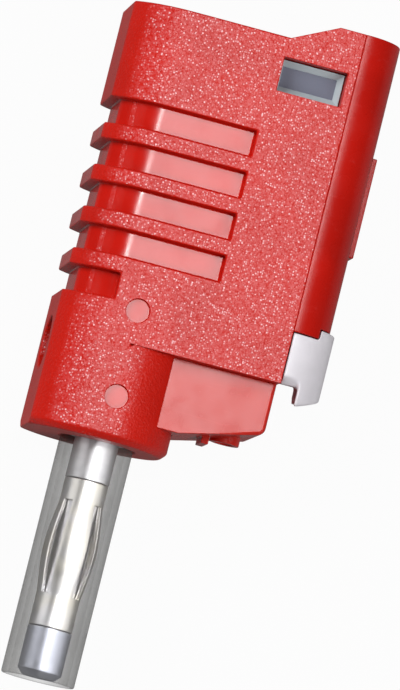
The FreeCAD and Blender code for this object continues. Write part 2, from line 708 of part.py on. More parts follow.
# Release button in the window: a flange behind the wall and a dished face for a screwdriver
def make_release_button():
    body = new_piece("release_button")
    left, right = WINDOW_LEFT + S.button_gap, WINDOW_LEFT + S.window_width - S.button_gap
    low, high = WINDOW_LOW + S.button_gap, WINDOW_LOW + S.window_high - S.button_gap

    stem = upright(body, "button_stem", BUTTON_FACE)
    box_outline(stem, left, low, right, high)
    extrude(body, stem, BUTTON_FACE - S.clamp_reach - S.fit_gap, back=True)
    flange = upright(body, "button_flange", FLANGE_FRONT)
    out = S.flange_extra
    box_outline(flange, left - out, low - out, right + out, high + out)
    extrude(body, flange, S.flange_thick, back=True)

    dish = upright(body, "button_dish", BUTTON_FACE)
    inset = S.dish_slope + S.button_rim
    box_outline(dish, left + S.button_rim, low + inset, right - inset, high - inset)
    extrude(body, dish, S.button_dish, "Pocket")
    dress(body, "Chamfer", "dish_slopes", S.dish_slope, is_dish_edge)
    return body


def is_dish_edge(edge):
    """The dish's edges in the button's face, apart from the left one."""
    box = edge.BoundBox
    in_face = near(box.YMin, -BUTTON_FACE) and near(box.YMax, -BUTTON_FACE)
    inside = box.ZMin > (WINDOW_LOW + S.dish_slope).value
    inside = inside and box.ZMax < (WINDOW_TOP - S.dish_slope).value
    return in_face and inside and not near(box.XMax, WINDOW_LEFT + S.button_gap + S.button_rim)


# Clamp spring: a strip bent into a U, its back leg on the bar and its front leg at the button
def make_clamp_spring():
    body = new_piece("clamp_spring")
    strip = sideways(body, "clamp_strip", CLAMP_LEFT)
    back, front = BAR_FRONT, -S.clamp_reach
    outer = (back - front) / 2
    inner = outer - S.clamp_thick
    middle, bend = (back + front) / 2, CLAMP_BEND
    outline(strip, [
        (back - S.clamp_thick, CLAMP_BACK),
        (back - S.clamp_thick, bend),
        (middle, bend - inner, inner, -1),
        (front + S.clamp_thick, bend, inner, -1),
        (front + S.clamp_thick, CLAMP_FRONT),
        (front, CLAMP_FRONT),
        (front, bend),
        (middle, bend - outer, outer, 1),
        (back, bend, outer, 1),
        (back, CLAMP_BACK),
    ])
    extrude(body, strip, S.clamp_wide)
    return body


# Current bar: a stamped plate with a foot bent under it, from the contact block to the clamp
def make_current_bar():
    body = new_piece("current_bar")
    plate = upright(body, "bar_plate", -BAR_FRONT)
    right = CLAMP_LEFT + S.clamp_wide
    outline(plate, [(-S.bar_half, CHAMBER_FLOOR), (S.bar_half, CHAMBER_FLOOR),
                    (S.bar_half, ARM_LOW), (right, ARM_LOW), (right, BAR_TOP),
                    (CLAMP_LEFT, BAR_TOP), (CLAMP_LEFT, ARM_HIGH),
                    (-S.bar_half, ARM_HIGH)])
    extrude(body, plate, S.bar_thick, back=True)
    foot = level(body, "bar_foot", CHAMBER_FLOOR)
    box_outline(foot, -S.bar_half, -S.bar_half, S.bar_half, BAR_FRONT)
    ring_outline(foot, ZERO, ZERO, STUD_HOLE_R)
    extrude(body, foot, S.bar_thick)
    return body


# Contact block that joins the pin, both sockets and the bar
def make_contact_block():
    body = new_piece("contact_block")
    wide, deep = S.chamber_left - S.block_gap, WELL_HALF - S.block_gap
    block = level(body, "block_section", S.well_floor)
    box_outline(block, -wide, -deep, wide, deep)
    extrude(body, block, CHAMBER_FLOOR - S.well_floor)
    across = sideways(body, "cross_seat", -wide)
    ring_outline(across, ZERO, CROSS_HEIGHT, SOCKET_SEAT_R)
    extrude(body, across, wide * 2, "Pocket", back=True)
    stud_hole = level(body, "stud_hole", CHAMBER_FLOOR)
    ring_outline(stud_hole, ZERO, ZERO, STUD_HOLE_R)
    extrude(body, stud_hole, CHAMBER_FLOOR - S.well_floor, "Pocket")
    return body


# Sockets: bored rods, the top one with a stud that screws it down on the bar
def make_axial_socket():
    body = new_piece("axial_socket")
    half = upright(body, "half_section")
    outline(half, [(ZERO, CHAMBER_FLOOR - S.stud_long), (STUD_R, CHAMBER_FLOOR - S.stud_long),
                   (STUD_R, SHOULDER), (SOCKET_R, SHOULDER), (SOCKET_R, CHAMBER_ROOF),
                   (BORE_R + S.socket_lead, CHAMBER_ROOF), (BORE_R, CHAMBER_ROOF - S.socket_lead),
                   (BORE_R, TOP_BOTTOM), (ZERO, TOP_BOTTOM)])
    turn(body, half)
    return body


def make_cross_socket():
    body = new_piece("cross_socket")
    half = upright(body, "half_section")
    bind(half, "AttachmentOffset.Base.y", CROSS_HEIGHT)
    left, closed = -S.chamber_left, CROSS_RIGHT - S.cross_end
    outline(half, [(left, BORE_R + S.socket_lead), (left, SOCKET_R), (CROSS_RIGHT, SOCKET_R),
                   (CROSS_RIGHT, ZERO), (closed, ZERO), (closed, BORE_R),
                   (left + S.socket_lead, BORE_R)])
    turn(body, half, "H_Axis")
    return body


# Split washer between the bar's foot and the top socket's shoulder
def make_lock_washer():
    body = new_piece("lock_washer")
    ring = level(body, "washer_ring", WASHER_LOW)
    ring_outline(ring, ZERO, ZERO, WASHER_R)
    ring_outline(ring, ZERO, ZERO, STUD_HOLE_R)
    extrude(body, ring, S.washer_thick)
    split = level(body, "washer_split", WASHER_LOW)
    box_outline(split, ZERO, -S.washer_split / 2, WASHER_R + OVERCUT, S.washer_split / 2)
    extrude(body, split, S.washer_thick, "Pocket", back=True)
    return body


# Plug pin: turned, with a collar for the sleeve and a waist for the contact basket
def make_plug_pin():
    body = new_piece("plug_pin")
    half = upright(body, "half_section")
    outline(half, [(ZERO, TAIL_END), (ZERO, -S.pin_end),
                   (PIN_R - S.pin_lead, -S.pin_end), (PIN_R, S.pin_lead - S.pin_end),
                   (PIN_R, -BASKET_END), (CORE_R, -BASKET_END), (CORE_R, -S.basket_top),
                   (PIN_R, -S.basket_top), (PIN_R, S.collar_rise), (COLLAR_R, S.collar_rise),
                   (COLLAR_R, S.well_floor), (STUD_R, S.well_floor),
                   (STUD_R, TAIL_END)])
    turn(body, half)
    return body


# Contact basket: a rolled sheet whose middle is slit into bowed leaves
def make_contact_basket():
    body = new_piece("contact_basket")
    half = upright(body, "half_section")
    outer = BASKET_R + S.leaf_thick
    top, low = -S.basket_top - S.fit_gap, S.fit_gap - BASKET_END
    bow = [(S.leaf_bow * out, -LEAF_TOP - S.leaf_long * along) for along, out in LEAF_BOW]
    inside = [(BASKET_R, top), (BASKET_R, -LEAF_TOP)]
    inside += [(BASKET_R + out, at) for out, at in bow] + [(BASKET_R, -LEAF_END), (BASKET_R, low)]
    outside = [(outer, low), (outer, -LEAF_END)]
    outside += [(outer + out, at) for out, at in reversed(bow)] + [(outer, -LEAF_TOP), (outer, top)]
    outline(half, inside + outside)
    turn(body, half)

    slit = upright(body, "leaf_slit")
    half_step = FreeCAD.Rotation(FreeCAD.Vector(0, 1, 0), HALF_STEP.value)
    slit.AttachmentOffset = FreeCAD.Placement(FreeCAD.Vector(), half_step)
    bind(slit, "AttachmentOffset.Rotation.Angle", HALF_STEP)
    box_outline(slit, -S.leaf_slot / 2, -LEAF_END, S.leaf_slot / 2, -LEAF_TOP)
    first = extrude(body, slit, BULGE_R + OVERCUT, "Pocket")
    leaves = body.newObject("PartDesign::PolarPattern", "leaf_slits")
    leaves.Originals = [first]
    leaves.Axis = (origin_part(body, "Z_Axis"), [""])
    leaves.Angle = 360
    bind(leaves, "Occurrences", S.leaf_count)
    finish_feature(body, leaves, slit, False)
    return body


# Clear sleeve that slips over the pin and seats in the foot's recess
def make_protective_sleeve():
    body = new_piece("protective_sleeve")
    half = upright(body, "half_section")
    top, bevel = S.sleeve_seat - S.clip_gap, S.sleeve_bevel
    outline(half, [(SLEEVE_BORE_R, top), (SLEEVE_BORE_R, -SLEEVE_END), (SLEEVE_R - bevel, -SLEEVE_END),
                   (SLEEVE_R, bevel - SLEEVE_END), (SLEEVE_R, top)])
    turn(body, half)
    return body


def check_document():
    """Stops if any object failed or any piece is not a sound solid."""
    for thing in document.Objects:
        if "Invalid" in thing.State or "Error" in thing.State:
            raise RuntimeError(f"{thing.Name} failed")
    for body in pieces:
        if body.Shape.isNull() or not body.Shape.isValid() or not body.Shape.Solids:
            raise RuntimeError(f"{body.Label} is not a sound solid")


def main():
    make_housing()
    make_end_cover()
    make_strain_relief_clip()
    make_socket_carrier()
    make_release_button()
    make_clamp_spring()
    make_current_bar()
    make_contact_block()
    make_axial_socket()
    make_cross_socket()
    make_lock_washer()
    make_plug_pin()
    make_contact_basket()
    make_protective_sleeve()
    document.recompute()
    check_document()
    os.makedirs("parts", exist_ok=True)
    for body in pieces:
        body.Shape.exportStep(f"parts/{body.Label}.step")
        print(body.Label, len(body.Shape.Solids), round(body.Shape.Volume, 3))


main()
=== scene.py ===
import math

import bmesh
import bpy
from bpy.props import FloatProperty, FloatVectorProperty, IntProperty, PointerProperty
from bpy.types import Operator, Panel, PropertyGroup
from mathutils import Matrix, Vector


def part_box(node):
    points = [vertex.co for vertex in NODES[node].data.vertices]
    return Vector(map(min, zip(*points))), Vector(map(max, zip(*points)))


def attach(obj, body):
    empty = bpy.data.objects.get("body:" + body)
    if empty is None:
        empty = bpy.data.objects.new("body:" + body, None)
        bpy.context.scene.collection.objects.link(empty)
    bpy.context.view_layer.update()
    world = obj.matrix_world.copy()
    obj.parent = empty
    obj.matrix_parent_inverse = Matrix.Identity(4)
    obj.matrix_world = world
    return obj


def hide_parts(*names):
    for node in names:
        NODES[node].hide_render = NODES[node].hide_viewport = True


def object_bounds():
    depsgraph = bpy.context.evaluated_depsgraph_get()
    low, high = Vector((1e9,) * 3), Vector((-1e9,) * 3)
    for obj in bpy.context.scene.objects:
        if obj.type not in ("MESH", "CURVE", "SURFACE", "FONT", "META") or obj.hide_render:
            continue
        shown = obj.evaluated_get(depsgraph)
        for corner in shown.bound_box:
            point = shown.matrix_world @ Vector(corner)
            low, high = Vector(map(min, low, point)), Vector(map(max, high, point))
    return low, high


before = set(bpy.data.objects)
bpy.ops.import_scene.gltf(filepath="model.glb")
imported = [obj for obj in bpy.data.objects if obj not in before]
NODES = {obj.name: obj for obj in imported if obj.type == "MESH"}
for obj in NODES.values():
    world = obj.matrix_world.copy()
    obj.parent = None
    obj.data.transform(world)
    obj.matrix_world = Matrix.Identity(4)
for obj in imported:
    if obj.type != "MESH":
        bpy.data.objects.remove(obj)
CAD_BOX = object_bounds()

bl_info = {
    "name": "Stackable Banana Plug",
    "version": (1, 0, 0),
    "blender": (4, 5, 0),
    "location": "View3D > Sidebar > Plug",
    "description": "Dresses a stackable 4 mm test plug with its moulded, turned and clear finishes",
    "category": "Object",
}

MM = 0.001
UP = Vector((0, 1, 0))

# Limits in a mesh: one point, one flat face, a corner to round, a wide face, a stray normal
WELD = 0.0005 * MM
FLAT_TURN = math.radians(0.8)
CORNER_TURN = math.radians(34)
WIDE_FACE = 0.05 * MM ** 2
STRAY_NORMAL = 0.9

# The plug's own axes in the frame: the pin's axis, the foot of the housing and the middle plane
HOUSING_LOW, HOUSING_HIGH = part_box("housing")
PIN_LOW, PIN_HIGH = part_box("plug_pin")
PIN_X = (PIN_LOW.x + PIN_HIGH.x) / 2
FOOT_Y = HOUSING_LOW.y
MIDDLE_Z = (HOUSING_LOW.z + HOUSING_HIGH.z) / 2
HALF_MM = (HOUSING_HIGH.z - HOUSING_LOW.z) / 2 / MM


def place(right, up, out=0.0):
    """A point given in millimetres from the pin's axis, the foot and the middle plane."""
    return Vector((PIN_X + right * MM, FOOT_Y + up * MM, MIDDLE_Z + out * MM))


def from_foot(point):
    """The reverse of place: millimetres from the pin's axis, the foot and the middle plane."""
    return (point.x - PIN_X) / MM, (point.y - FOOT_Y) / MM, (point.z - MIDDLE_Z) / MM


# Heights and reaches on the solids, in millimetres as place takes them
LEDGE = 7.9  # underside of the ledge, over the carrier
GRIP_LOW, GRIP_HIGH, GRIP_RIGHT = 11.0, 27.1, 5.85  # the grip's grooves lie within these
GRIP_BEND = -1.5  # left of this the grip curves round to the back
GROOVE_CORE = 4.2  # faces nearer to the middle than this are inside
SKIN = 0.35  # dimples are shallower than this, and grooves deeper
DIMPLES, DIMPLE_RADIUS = (3.56, 10.6), 0.95  # heights of the dimples, and their radius
BUTTON_DISH = 1.05  # the dish's floor lies deeper than this
CLIP_FRONT = 5.2  # front of the clip and of its nail lip
CLIP_OUTSIDE, CLIP_HIGH = 12.75, 13.2  # the clip shows right of the first, below the second
LIP_LEFT, LIP_NECK, LIP_ROOT = 14.0, 8.2, 9.4  # left side, and the heights where the lip begins
LIP_LOW, LIP_RISE = 6.4, 0.33  # lowest point, and how the underside rises to the right
LIP_SHORTER, LIP_NARROWER = 0.12, 0.14  # how much less lip there is, for each millimetre back
FAR = 99.0  # past everything

# Zones with their own share of a piece's rounding: the share, a lowest and a highest corner.
# The first zone that holds the middle of an edge counts.
HOUSING_ZONES = (
    (0.0, (-0.3, LEDGE - 0.6, -FAR), (2.4, LEDGE + 0.6, FAR)),  # the ledge leaves the foot
    (0.15, (-1.1, 1.5, 5.2), (1.1, 12.0, FAR)),  # dimples
    (0.25, (6.4, 9.0, 3.4), (11.9, FAR, FAR)),  # window
    (1.0, (2.4, LEDGE - 0.4, 5.0), (12.4, LEDGE + 0.4, FAR)),  # ledge, front
    (1.0, (2.4, LEDGE - 0.4, -FAR), (12.4, LEDGE + 0.4, -5.0)),  # ledge, back
    (0.12, (12.4, -FAR, -FAR), (12.6, FAR, FAR)),  # joint with the cover
)
CARRIER_ZONES = (
    (1.0, (-FAR, -FAR, 4.0), (FAR, 2.0, FAR)),  # low front edge
    (1.0, (10.0, -FAR, 4.0), (FAR, FAR, FAR)),  # right front edge
)


class PlugShape(PropertyGroup):
    """Sizes of what is finer than the frame's own solids."""
    housing_edge: FloatProperty(
        name="Housing Edges", description="Rounding of the housing's edges",
        default=0.32 * MM, min=0.0, unit="LENGTH")
    cover_edge: FloatProperty(
        name="Cover Edges", description="Rounding of the smooth end cover's edges",
        default=0.09 * MM, min=0.0, unit="LENGTH")
    carrier_edge: FloatProperty(
        name="Carrier Edges", description="Rounding of the socket carrier's edges",
        default=0.3 * MM, min=0.0, unit="LENGTH")
    button_edge: FloatProperty(
        name="Button Edges", description="Rounding of the release button's edges",
        default=0.03 * MM, min=0.0, unit="LENGTH")
    leaves: IntProperty(
        name="Leaves", description="Number of bowed leaves in the contact basket",
        default=4, min=3, max=12)
    ring_radius: FloatProperty(
        name="Ring Radius", description="Inner radius of the basket's two rings",
        default=1.48 * MM, min=0.0, unit="LENGTH")
    leaf_bow: FloatProperty(
        name="Leaf Bow", description="How far the middle of a leaf stands out from its ends",
        default=0.38 * MM, min=0.0, unit="LENGTH")
    leaf_slot: FloatProperty(
        name="Leaf Slot", description="Gap between two leaves",
        default=0.7 * MM, min=0.0, unit="LENGTH")


class PlugColours(PropertyGroup):
    """Base colours of the plug's finishes."""
    housing: FloatVectorProperty(
        name="Housing", description="Red of the spark-eroded housing",
        subtype="COLOR", size=3, default=(0.54, 0.010, 0.004), min=0.0, max=1.0)
    polished: FloatVectorProperty(
        name="Polished Red", description="Red of the polished groove floors and dimples",
        subtype="COLOR", size=3, default=(0.53, 0.009, 0.004), min=0.0, max=1.0)
    cover: FloatVectorProperty(
        name="Cover", description="Red of the smooth end cover",
        subtype="COLOR", size=3, default=(0.46, 0.007, 0.003), min=0.0, max=1.0)
    carrier: FloatVectorProperty(
        name="Carrier", description="Red of the cross socket's carrier",
        subtype="COLOR", size=3, default=(0.55, 0.022, 0.014), min=0.0, max=1.0)
    clip: FloatVectorProperty(
        name="Wire Clip", description="White of the wire clip",
        subtype="COLOR", size=3, default=(0.72, 0.69, 0.73), min=0.0, max=1.0)
    button: FloatVectorProperty(
        name="Button", description="Grey of the release button",
        subtype="COLOR", size=3, default=(0.12, 0.13, 0.17), min=0.0, max=1.0)
    # Painted light: a lighter copy of the button's grey on the sloped faces round its dish
    painted_light_slopes: FloatVectorProperty(
        name="Button Slopes", description="Lighter grey of the slopes round the button's dish",
        subtype="COLOR", size=3, default=(0.32, 0.37, 0.39), min=0.0, max=1.0)
    sleeve: FloatVectorProperty(
        name="Sleeve", description="Tint of the clear sleeve",
        subtype="COLOR", size=3, default=(0.13, 0.126, 0.118), min=0.0, max=1.0)
    haze: FloatProperty(
        name="Haze", description="How dense the haze of the clear sleeve is",
        default=0.26, min=0.0, max=1.0)


class StageSettings(PropertyGroup):
    """Camera, lamps and the room's even light."""
    lens: FloatProperty(
        name="Lens", description="Focal length for a sensor whose long side is 36 mm",
        default=345.92, min=1.0)
    front_power: FloatProperty(
        name="Front Lamp", description="Power of the broad lamp in front of the plug",
        default=0.585, min=0.0, unit="POWER")
    strip_power: FloatProperty(
        name="Strip Lamp", description="Power of the narrow lamp beside the camera",
        default=0.42, min=0.0, unit="POWER")
    left_power: FloatProperty(
        name="Left Lamp", description="Power of the broad lamp at the left",
        default=2.8, min=0.0, unit="POWER")
    right_power: FloatProperty(
        name="Right Lamp", description="Power of the broad lamp at the right",
        default=1.9, min=0.0, unit="POWER")
    metal_power: FloatProperty(
        name="Metal Lamp", description="Power of the wide lamp that only the metal parts mirror",
        default=2.7, min=0.0, unit="POWER")
    sky: FloatProperty(
        name="Room Light", description="Strength of the even light from all round",
        default=0.06, min=0.0)


# Shader building

def feed(tree, node, inputs):
    """Fills a node's inputs with numbers, colours or links."""
    for name, value in inputs.items():
        socket = node.inputs[name]
        if isinstance(value, bpy.types.NodeSocket):
            tree.links.new(value, socket)
        elif socket.type == "RGBA":
            socket.default_value = (*value[:3], 1.0)
        else:
            socket.default_value = value


def add(tree, kind, inputs=None, **settings):
    """Adds a node, applies its settings and fills its inputs."""
    node = tree.nodes.new(kind)
    for name, value in settings.items():
        setattr(node, name, value)
    feed(tree, node, inputs or {})
    return node


def math_node(tree, operation, first, second=0.0, clamp=False):
    """A Math node's result."""
    inputs = {0: first, 1: second}
    return add(tree, "ShaderNodeMath", inputs, operation=operation, use_clamp=clamp).outputs[0]


def times(tree, first, second):
    """One value times another."""
    return math_node(tree, "MULTIPLY", first, second)


def ramp(tree, value, low, high, low_out=0.0, high_out=1.0):
    """A value mapped from one range to another, and held at its ends."""
    inputs = {"Value": value, "From Min": low, "From Max": high,
              "To Min": low_out, "To Max": high_out}
    return add(tree, "ShaderNodeMapRange", inputs).outputs["Result"]


def blend_colours(tree, share, first, second):
    """Two colours blended by a share."""
    # A Mix node set to colours has its factor at input 0, its colours at 6 and 7, its result at 2
    return add(tree, "ShaderNodeMix", {0: share, 6: first, 7: second}, data_type="RGBA").outputs[2]


def toned(colour, share):
    """A darker or lighter tone of a colour."""
    return tuple(min(part * share, 1.0) for part in colour)


def faded_red(red, share, green, blue):
    """A red made paler: its red part times a share, and some green and blue added."""
    return (min(red[0] * share, 1.0), red[1] + green, red[2] + blue)


def new_group(name, inputs, outputs):
    """An empty shader group: its tree, its inputs, and its end to feed.

    An input without a number is a vector, and every other socket is a number.
    """
    tree = bpy.data.node_groups.new(name, "ShaderNodeTree")
    for socket, default in inputs.items():
        kind = "NodeSocketVector" if default is None else "NodeSocketFloat"
        made = tree.interface.new_socket(socket, in_out="INPUT", socket_type=kind)
        if default is not None:
            made.default_value = default
    for socket in outputs:
        tree.interface.new_socket(socket, in_out="OUTPUT", socket_type="NodeSocketFloat")
    start = tree.nodes.new("NodeGroupInput")
    end = tree.nodes.new("NodeGroupOutput")
    return tree, start.outputs, end


def noise(tree, inputs, **settings):
    """A Noise Texture's value."""
    return add(tree, "ShaderNodeTexNoise", inputs, **settings).outputs["Fac"]


def scaled(tree, vector, scale):
    """A vector times a number."""
    inputs = {0: vector, "Scale": scale}
    return add(tree, "ShaderNodeVectorMath", inputs, operation="SCALE").outputs[0]


def spark_texture_group():
    """Spark-eroded mould texture: small overlapping pits, and dots on a few grains for painted
    highlights.
    """
    tree, given, end = new_group("Spark Texture", {"Vector": None, "Grains per Metre": 5200.0},
                                 ("Height", "Glint", "Mottle"))
    spot = scaled(tree, given["Vector"], given["Grains per Metre"])
    grains = noise(tree, {"Vector": spot, "Scale": 0.8, "Detail": 2.0, "Roughness": 0.65})
    pits = add(tree, "ShaderNodeTexVoronoi", {"Vector": spot, "Scale": 1.05}, feature="F1").outputs
    height = math_node(tree, "ADD", times(tree, pits["Distance"], 0.6), grains)
    # Only some grains get a dot, small and near the middle of their cell, for a painted highlight
    lucky = add(tree, "ShaderNodeSeparateColor", {"Color": pits["Color"]}).outputs[0]
    lucky = math_node(tree, "POWER", ramp(tree, lucky, 0.30, 1.0), 1.7)
    dot = ramp(tree, pits["Distance"], 0.12, 0.50, 1.0, 0.0)
    feed(tree, end, {"Height": height, "Glint": times(tree, lucky, dot),
                     "Mottle": ramp(tree, grains, 0.38, 0.64)})
    return tree


def flow_group():
    """Slow change over a moulding: where the melt ran and cooled."""
    tree, given, end = new_group("Moulding Flow", {"Vector": None, "Waves per Metre": 160.0},
                                 ("Share", "Height"))
    spot = scaled(tree, given["Vector"], given["Waves per Metre"])
    slow = noise(tree, {"Vector": spot, "Scale": 1.0, "Detail": 2.0, "Roughness": 0.4,
                        "Distortion": 0.6})
    feed(tree, end, {"Share": ramp(tree, slow, 0.3, 0.7), "Height": slow})
    return tree


def handling_group():
    """Fine scratches and dull spots left by handling."""
    tree, given, end = new_group("Handling Marks", {"Vector": None, "Marks per Metre": 900.0},
                                 ("Scratch", "Dull"))
    spot = scaled(tree, given["Vector"], given["Marks per Metre"])
    turned = add(tree, "ShaderNodeMapping", {"Vector": spot, "Rotation": (0.3, 0.5, 0.7),
                                             "Scale": (0.12, 1.6, 1.6)}).outputs[0]
    lines = noise(tree, {"Vector": turned, "Scale": 2.0, "Detail": 4.0, "Roughness": 0.7})
    spots = noise(tree, {"Vector": spot, "Scale": 0.5, "Detail": 3.0})
    feed(tree, end, {"Scratch": ramp(tree, lines, 0.6, 0.72),
                     "Dull": ramp(tree, spots, 0.42, 0.68)})
    return tree


def turning_group():
    """Turning lines of a lathe: rings along the part's axis, which is the frame's Y or X."""
    tree, given, end = new_group("Turning Lines", {"Along": 0.0, "Lines per Metre": 14000.0},
                                 ("Height", "Tone"))
    spot = times(tree, given["Along"], given["Lines per Metre"])
    fine = noise(tree, {"W": spot, "Scale": 1.0, "Detail": 3.0}, noise_dimensions="1D")
    slow = noise(tree, {"W": spot, "Scale": 0.12, "Detail": 2.0}, noise_dimensions="1D")
    feed(tree, end, {"Height": fine, "Tone": ramp(tree, slow, 0.35, 0.65)})
    return tree


GROUPS = {}


def use_group(tree, name, inputs):
    """Places one of the shared groups in a material and fills its inputs."""
    makers = {"Spark Texture": spark_texture_group, "Moulding Flow": flow_group,
              "Handling Marks": handling_group, "Turning Lines": turning_group}
    if name not in GROUPS:
        GROUPS[name] = makers[name]()
    return add(tree, "ShaderNodeGroup", inputs, node_tree=GROUPS[name]).outputs


def new_material(name):
    """A material with its Principled shader and the object's own coordinates."""
    material = bpy.data.materials.new("plug " + name.replace("_", " "))
    material.use_nodes = True
    tree = material.node_tree
    shader = tree.nodes["Principled BSDF"]
    spot = add(tree, "ShaderNodeTexCoord").outputs["Object"]
    return material, tree, shader, spot


def bump(tree, height, distance, strength):
    """A normal bent by a height, whose full step is a distance in metres."""
    inputs = {"Height": height, "Distance": distance, "Strength": strength}
    return add(tree, "ShaderNodeBump", inputs).outputs["Normal"]


# Tints that a finish adds to its own colour, the first painted highlights on the red, and where on
# the pin its cooler tip begins
PAINTED_GLINT_TINT = (1.0, 0.72, 0.75)
CLOUD_TINT = (0.62, 0.60, 0.62)
TIP_TINT = (0.64, 0.66, 0.75)
TIP_START = -15.2

# The clear sleeve: a radius inside its wall, the haze that its edge adds, the haze of dull spots,
# and the share of all haze that light meets on its way to the pin
SLEEVE_WALL = 2.7 * MM
EDGE_HAZE = 0.52
DULL_HAZE = 0.03
HAZE_FOR_LIGHT = 0.15


def textured_red(colours):
    """Red spark-eroded plastic: fine grain, with its soft sheen and scattered glints partly
    painted.
    """
    material, tree, shader, spot = new_material("textured_red")
    spark = use_group(tree, "Spark Texture", {"Vector": spot})
    flow = use_group(tree, "Moulding Flow", {"Vector": spot})
    base = colours.housing
    # Painted sheen and painted highlights go only on faces turned towards the front lamps
    normal = add(tree, "ShaderNodeTexCoord").outputs["Normal"]
    turned = add(tree, "ShaderNodeSeparateXYZ", {"Vector": normal}).outputs
    facing = math_node(tree, "SUBTRACT", math_node(tree, "ABSOLUTE", turned["Z"]),
                       times(tree, turned["X"], 0.20))
    # Share of painted sheen and painted highlights: full where a face turns to the front lamps
    broad = ramp(tree, facing, 0.90, 0.995)
    grain_with_painted_sheen = times(tree, spark["Mottle"], broad)
    painted_glint_grains = times(tree, spark["Glint"], broad)
    tone = blend_colours(tree, flow["Share"], toned(base, 0.85), base)
    # Painted sheen: a paler pink on the grain
    tone = blend_colours(tree, times(tree, grain_with_painted_sheen, 0.45), tone, faded_red(base, 1.25, 0.12, 0.13))
    # Painted highlights: pink dots on a few grains of the front faces
    tone = blend_colours(tree, times(tree, painted_glint_grains, 0.95), tone, PAINTED_GLINT_TINT)
    feed(tree, shader, {"Base Color": tone, "Roughness": ramp(tree, painted_glint_grains, 0.0, 1.0, 0.34, 0.18),
                        "Normal": bump(tree, spark["Height"], 0.05 * MM, 1.0)})
    return material


def plain_red(name, base, rough, grain, wear, specular=0.5):
    """Polished red plastic with slow flow in its colour and a little handling wear."""
    material, tree, shader, spot = new_material(name)
    flow = use_group(tree, "Moulding Flow", {"Vector": spot})
    marks = use_group(tree, "Handling Marks", {"Vector": spot})
    tone = blend_colours(tree, flow["Share"], toned(base, 0.82), base)
    tone = blend_colours(tree, times(tree, marks["Scratch"], wear), tone,
                         faded_red(base, 1.1, 0.03, 0.03))
    dulled = math_node(tree, "ADD", times(tree, marks["Dull"], 0.10), rough)
    height = math_node(tree, "ADD", flow["Height"], times(tree, marks["Scratch"], 0.05))
    feed(tree, shader, {"Base Color": tone, "Roughness": dulled,
                        "Normal": bump(tree, height, grain, 0.5), "Specular IOR Level": specular})
    return material


def white_plastic(colours):
    """Natural white polyamide: slightly clouded, soft gloss."""
    material, tree, shader, spot = new_material("white_plastic")
    flow = use_group(tree, "Moulding Flow", {"Vector": spot, "Waves per Metre": 420.0})
    marks = use_group(tree, "Handling Marks", {"Vector": spot})
    base = colours.clip
    tone = blend_colours(tree, flow["Share"], toned(base, 0.90), base)
    tone = blend_colours(tree, times(tree, marks["Dull"], 0.25), tone, CLOUD_TINT)
    feed(tree, shader, {
        "Base Color": tone, "Roughness": ramp(tree, marks["Dull"], 0.0, 1.0, 0.30, 0.42),
        "Normal": bump(tree, flow["Height"], 0.02 * MM, 0.5), "Subsurface Weight": 0.25,
        "Subsurface Radius": (1.0, 1.0, 1.0), "Subsurface Scale": 0.8 * MM})
    return material


def grey_plastic(name, base, rough):
    """Slate grey polyamide with a fine grain."""
    material, tree, shader, spot = new_material(name)
    spark = use_group(tree, "Spark Texture", {"Vector": spot, "Grains per Metre": 9000.0})
    flow = use_group(tree, "Moulding Flow", {"Vector": spot, "Waves per Metre": 300.0})
    feed(tree, shader, {
        "Base Color": blend_colours(tree, flow["Share"], base, toned(base, 1.25)),
        "Roughness": ramp(tree, spark["Mottle"], 0.0, 1.0, rough, rough + 0.1),
        "Normal": bump(tree, spark["Height"], 0.01 * MM, 0.6), "Specular IOR Level": 0.3})
    return material


def turned_metal(name, base, dark, rough, axis="Y", cool_below=None):
    """Plated turned metal: rings from the lathe, slow tone change, scratches and a cooler tip."""
    material, tree, shader, spot = new_material(name)
    parts = add(tree, "ShaderNodeSeparateXYZ", {"Vector": spot}).outputs
    lines = use_group(tree, "Turning Lines", {"Along": parts[axis]})
    marks = use_group(tree, "Handling Marks", {"Vector": spot, "Marks per Metre": 1500.0})
    tone = blend_colours(tree, times(tree, lines["Tone"], 0.35), base, dark)
    tone = blend_colours(tree, times(tree, marks["Dull"], 0.3), tone, dark)
    if cool_below is not None:
        level = place(0, cool_below).y
        cool = ramp(tree, parts["Y"], level - 0.3 * MM, level + 0.3 * MM, 1.0, 0.0)
        tone = blend_colours(tree, cool, tone, TIP_TINT)
    height = math_node(tree, "ADD", lines["Height"], times(tree, marks["Scratch"], 0.4))
    feed(tree, shader, {
        "Base Color": tone, "Roughness": ramp(tree, lines["Tone"], 0.0, 1.0, rough, rough + 0.12),
        "Normal": bump(tree, height, 0.004 * MM, 0.5), "Metallic": 1.0})
    return material


def sheet_metal(name, base, dark, rough):
    """Plated sheet metal: clouded tone and fine scratches."""
    material, tree, shader, spot = new_material(name)
    marks = use_group(tree, "Handling Marks", {"Vector": spot, "Marks per Metre": 1300.0})
    flow = use_group(tree, "Moulding Flow", {"Vector": spot, "Waves per Metre": 500.0})
    tone = blend_colours(tree, flow["Share"], base, dark)
    tone = blend_colours(tree, times(tree, marks["Scratch"], 0.3), tone, dark)
    feed(tree, shader, {
        "Base Color": tone, "Roughness": ramp(tree, marks["Dull"], 0.0, 1.0, rough, rough + 0.12),
        "Normal": bump(tree, marks["Scratch"], 0.004 * MM, 0.4), "Metallic": 1.0})
    return material


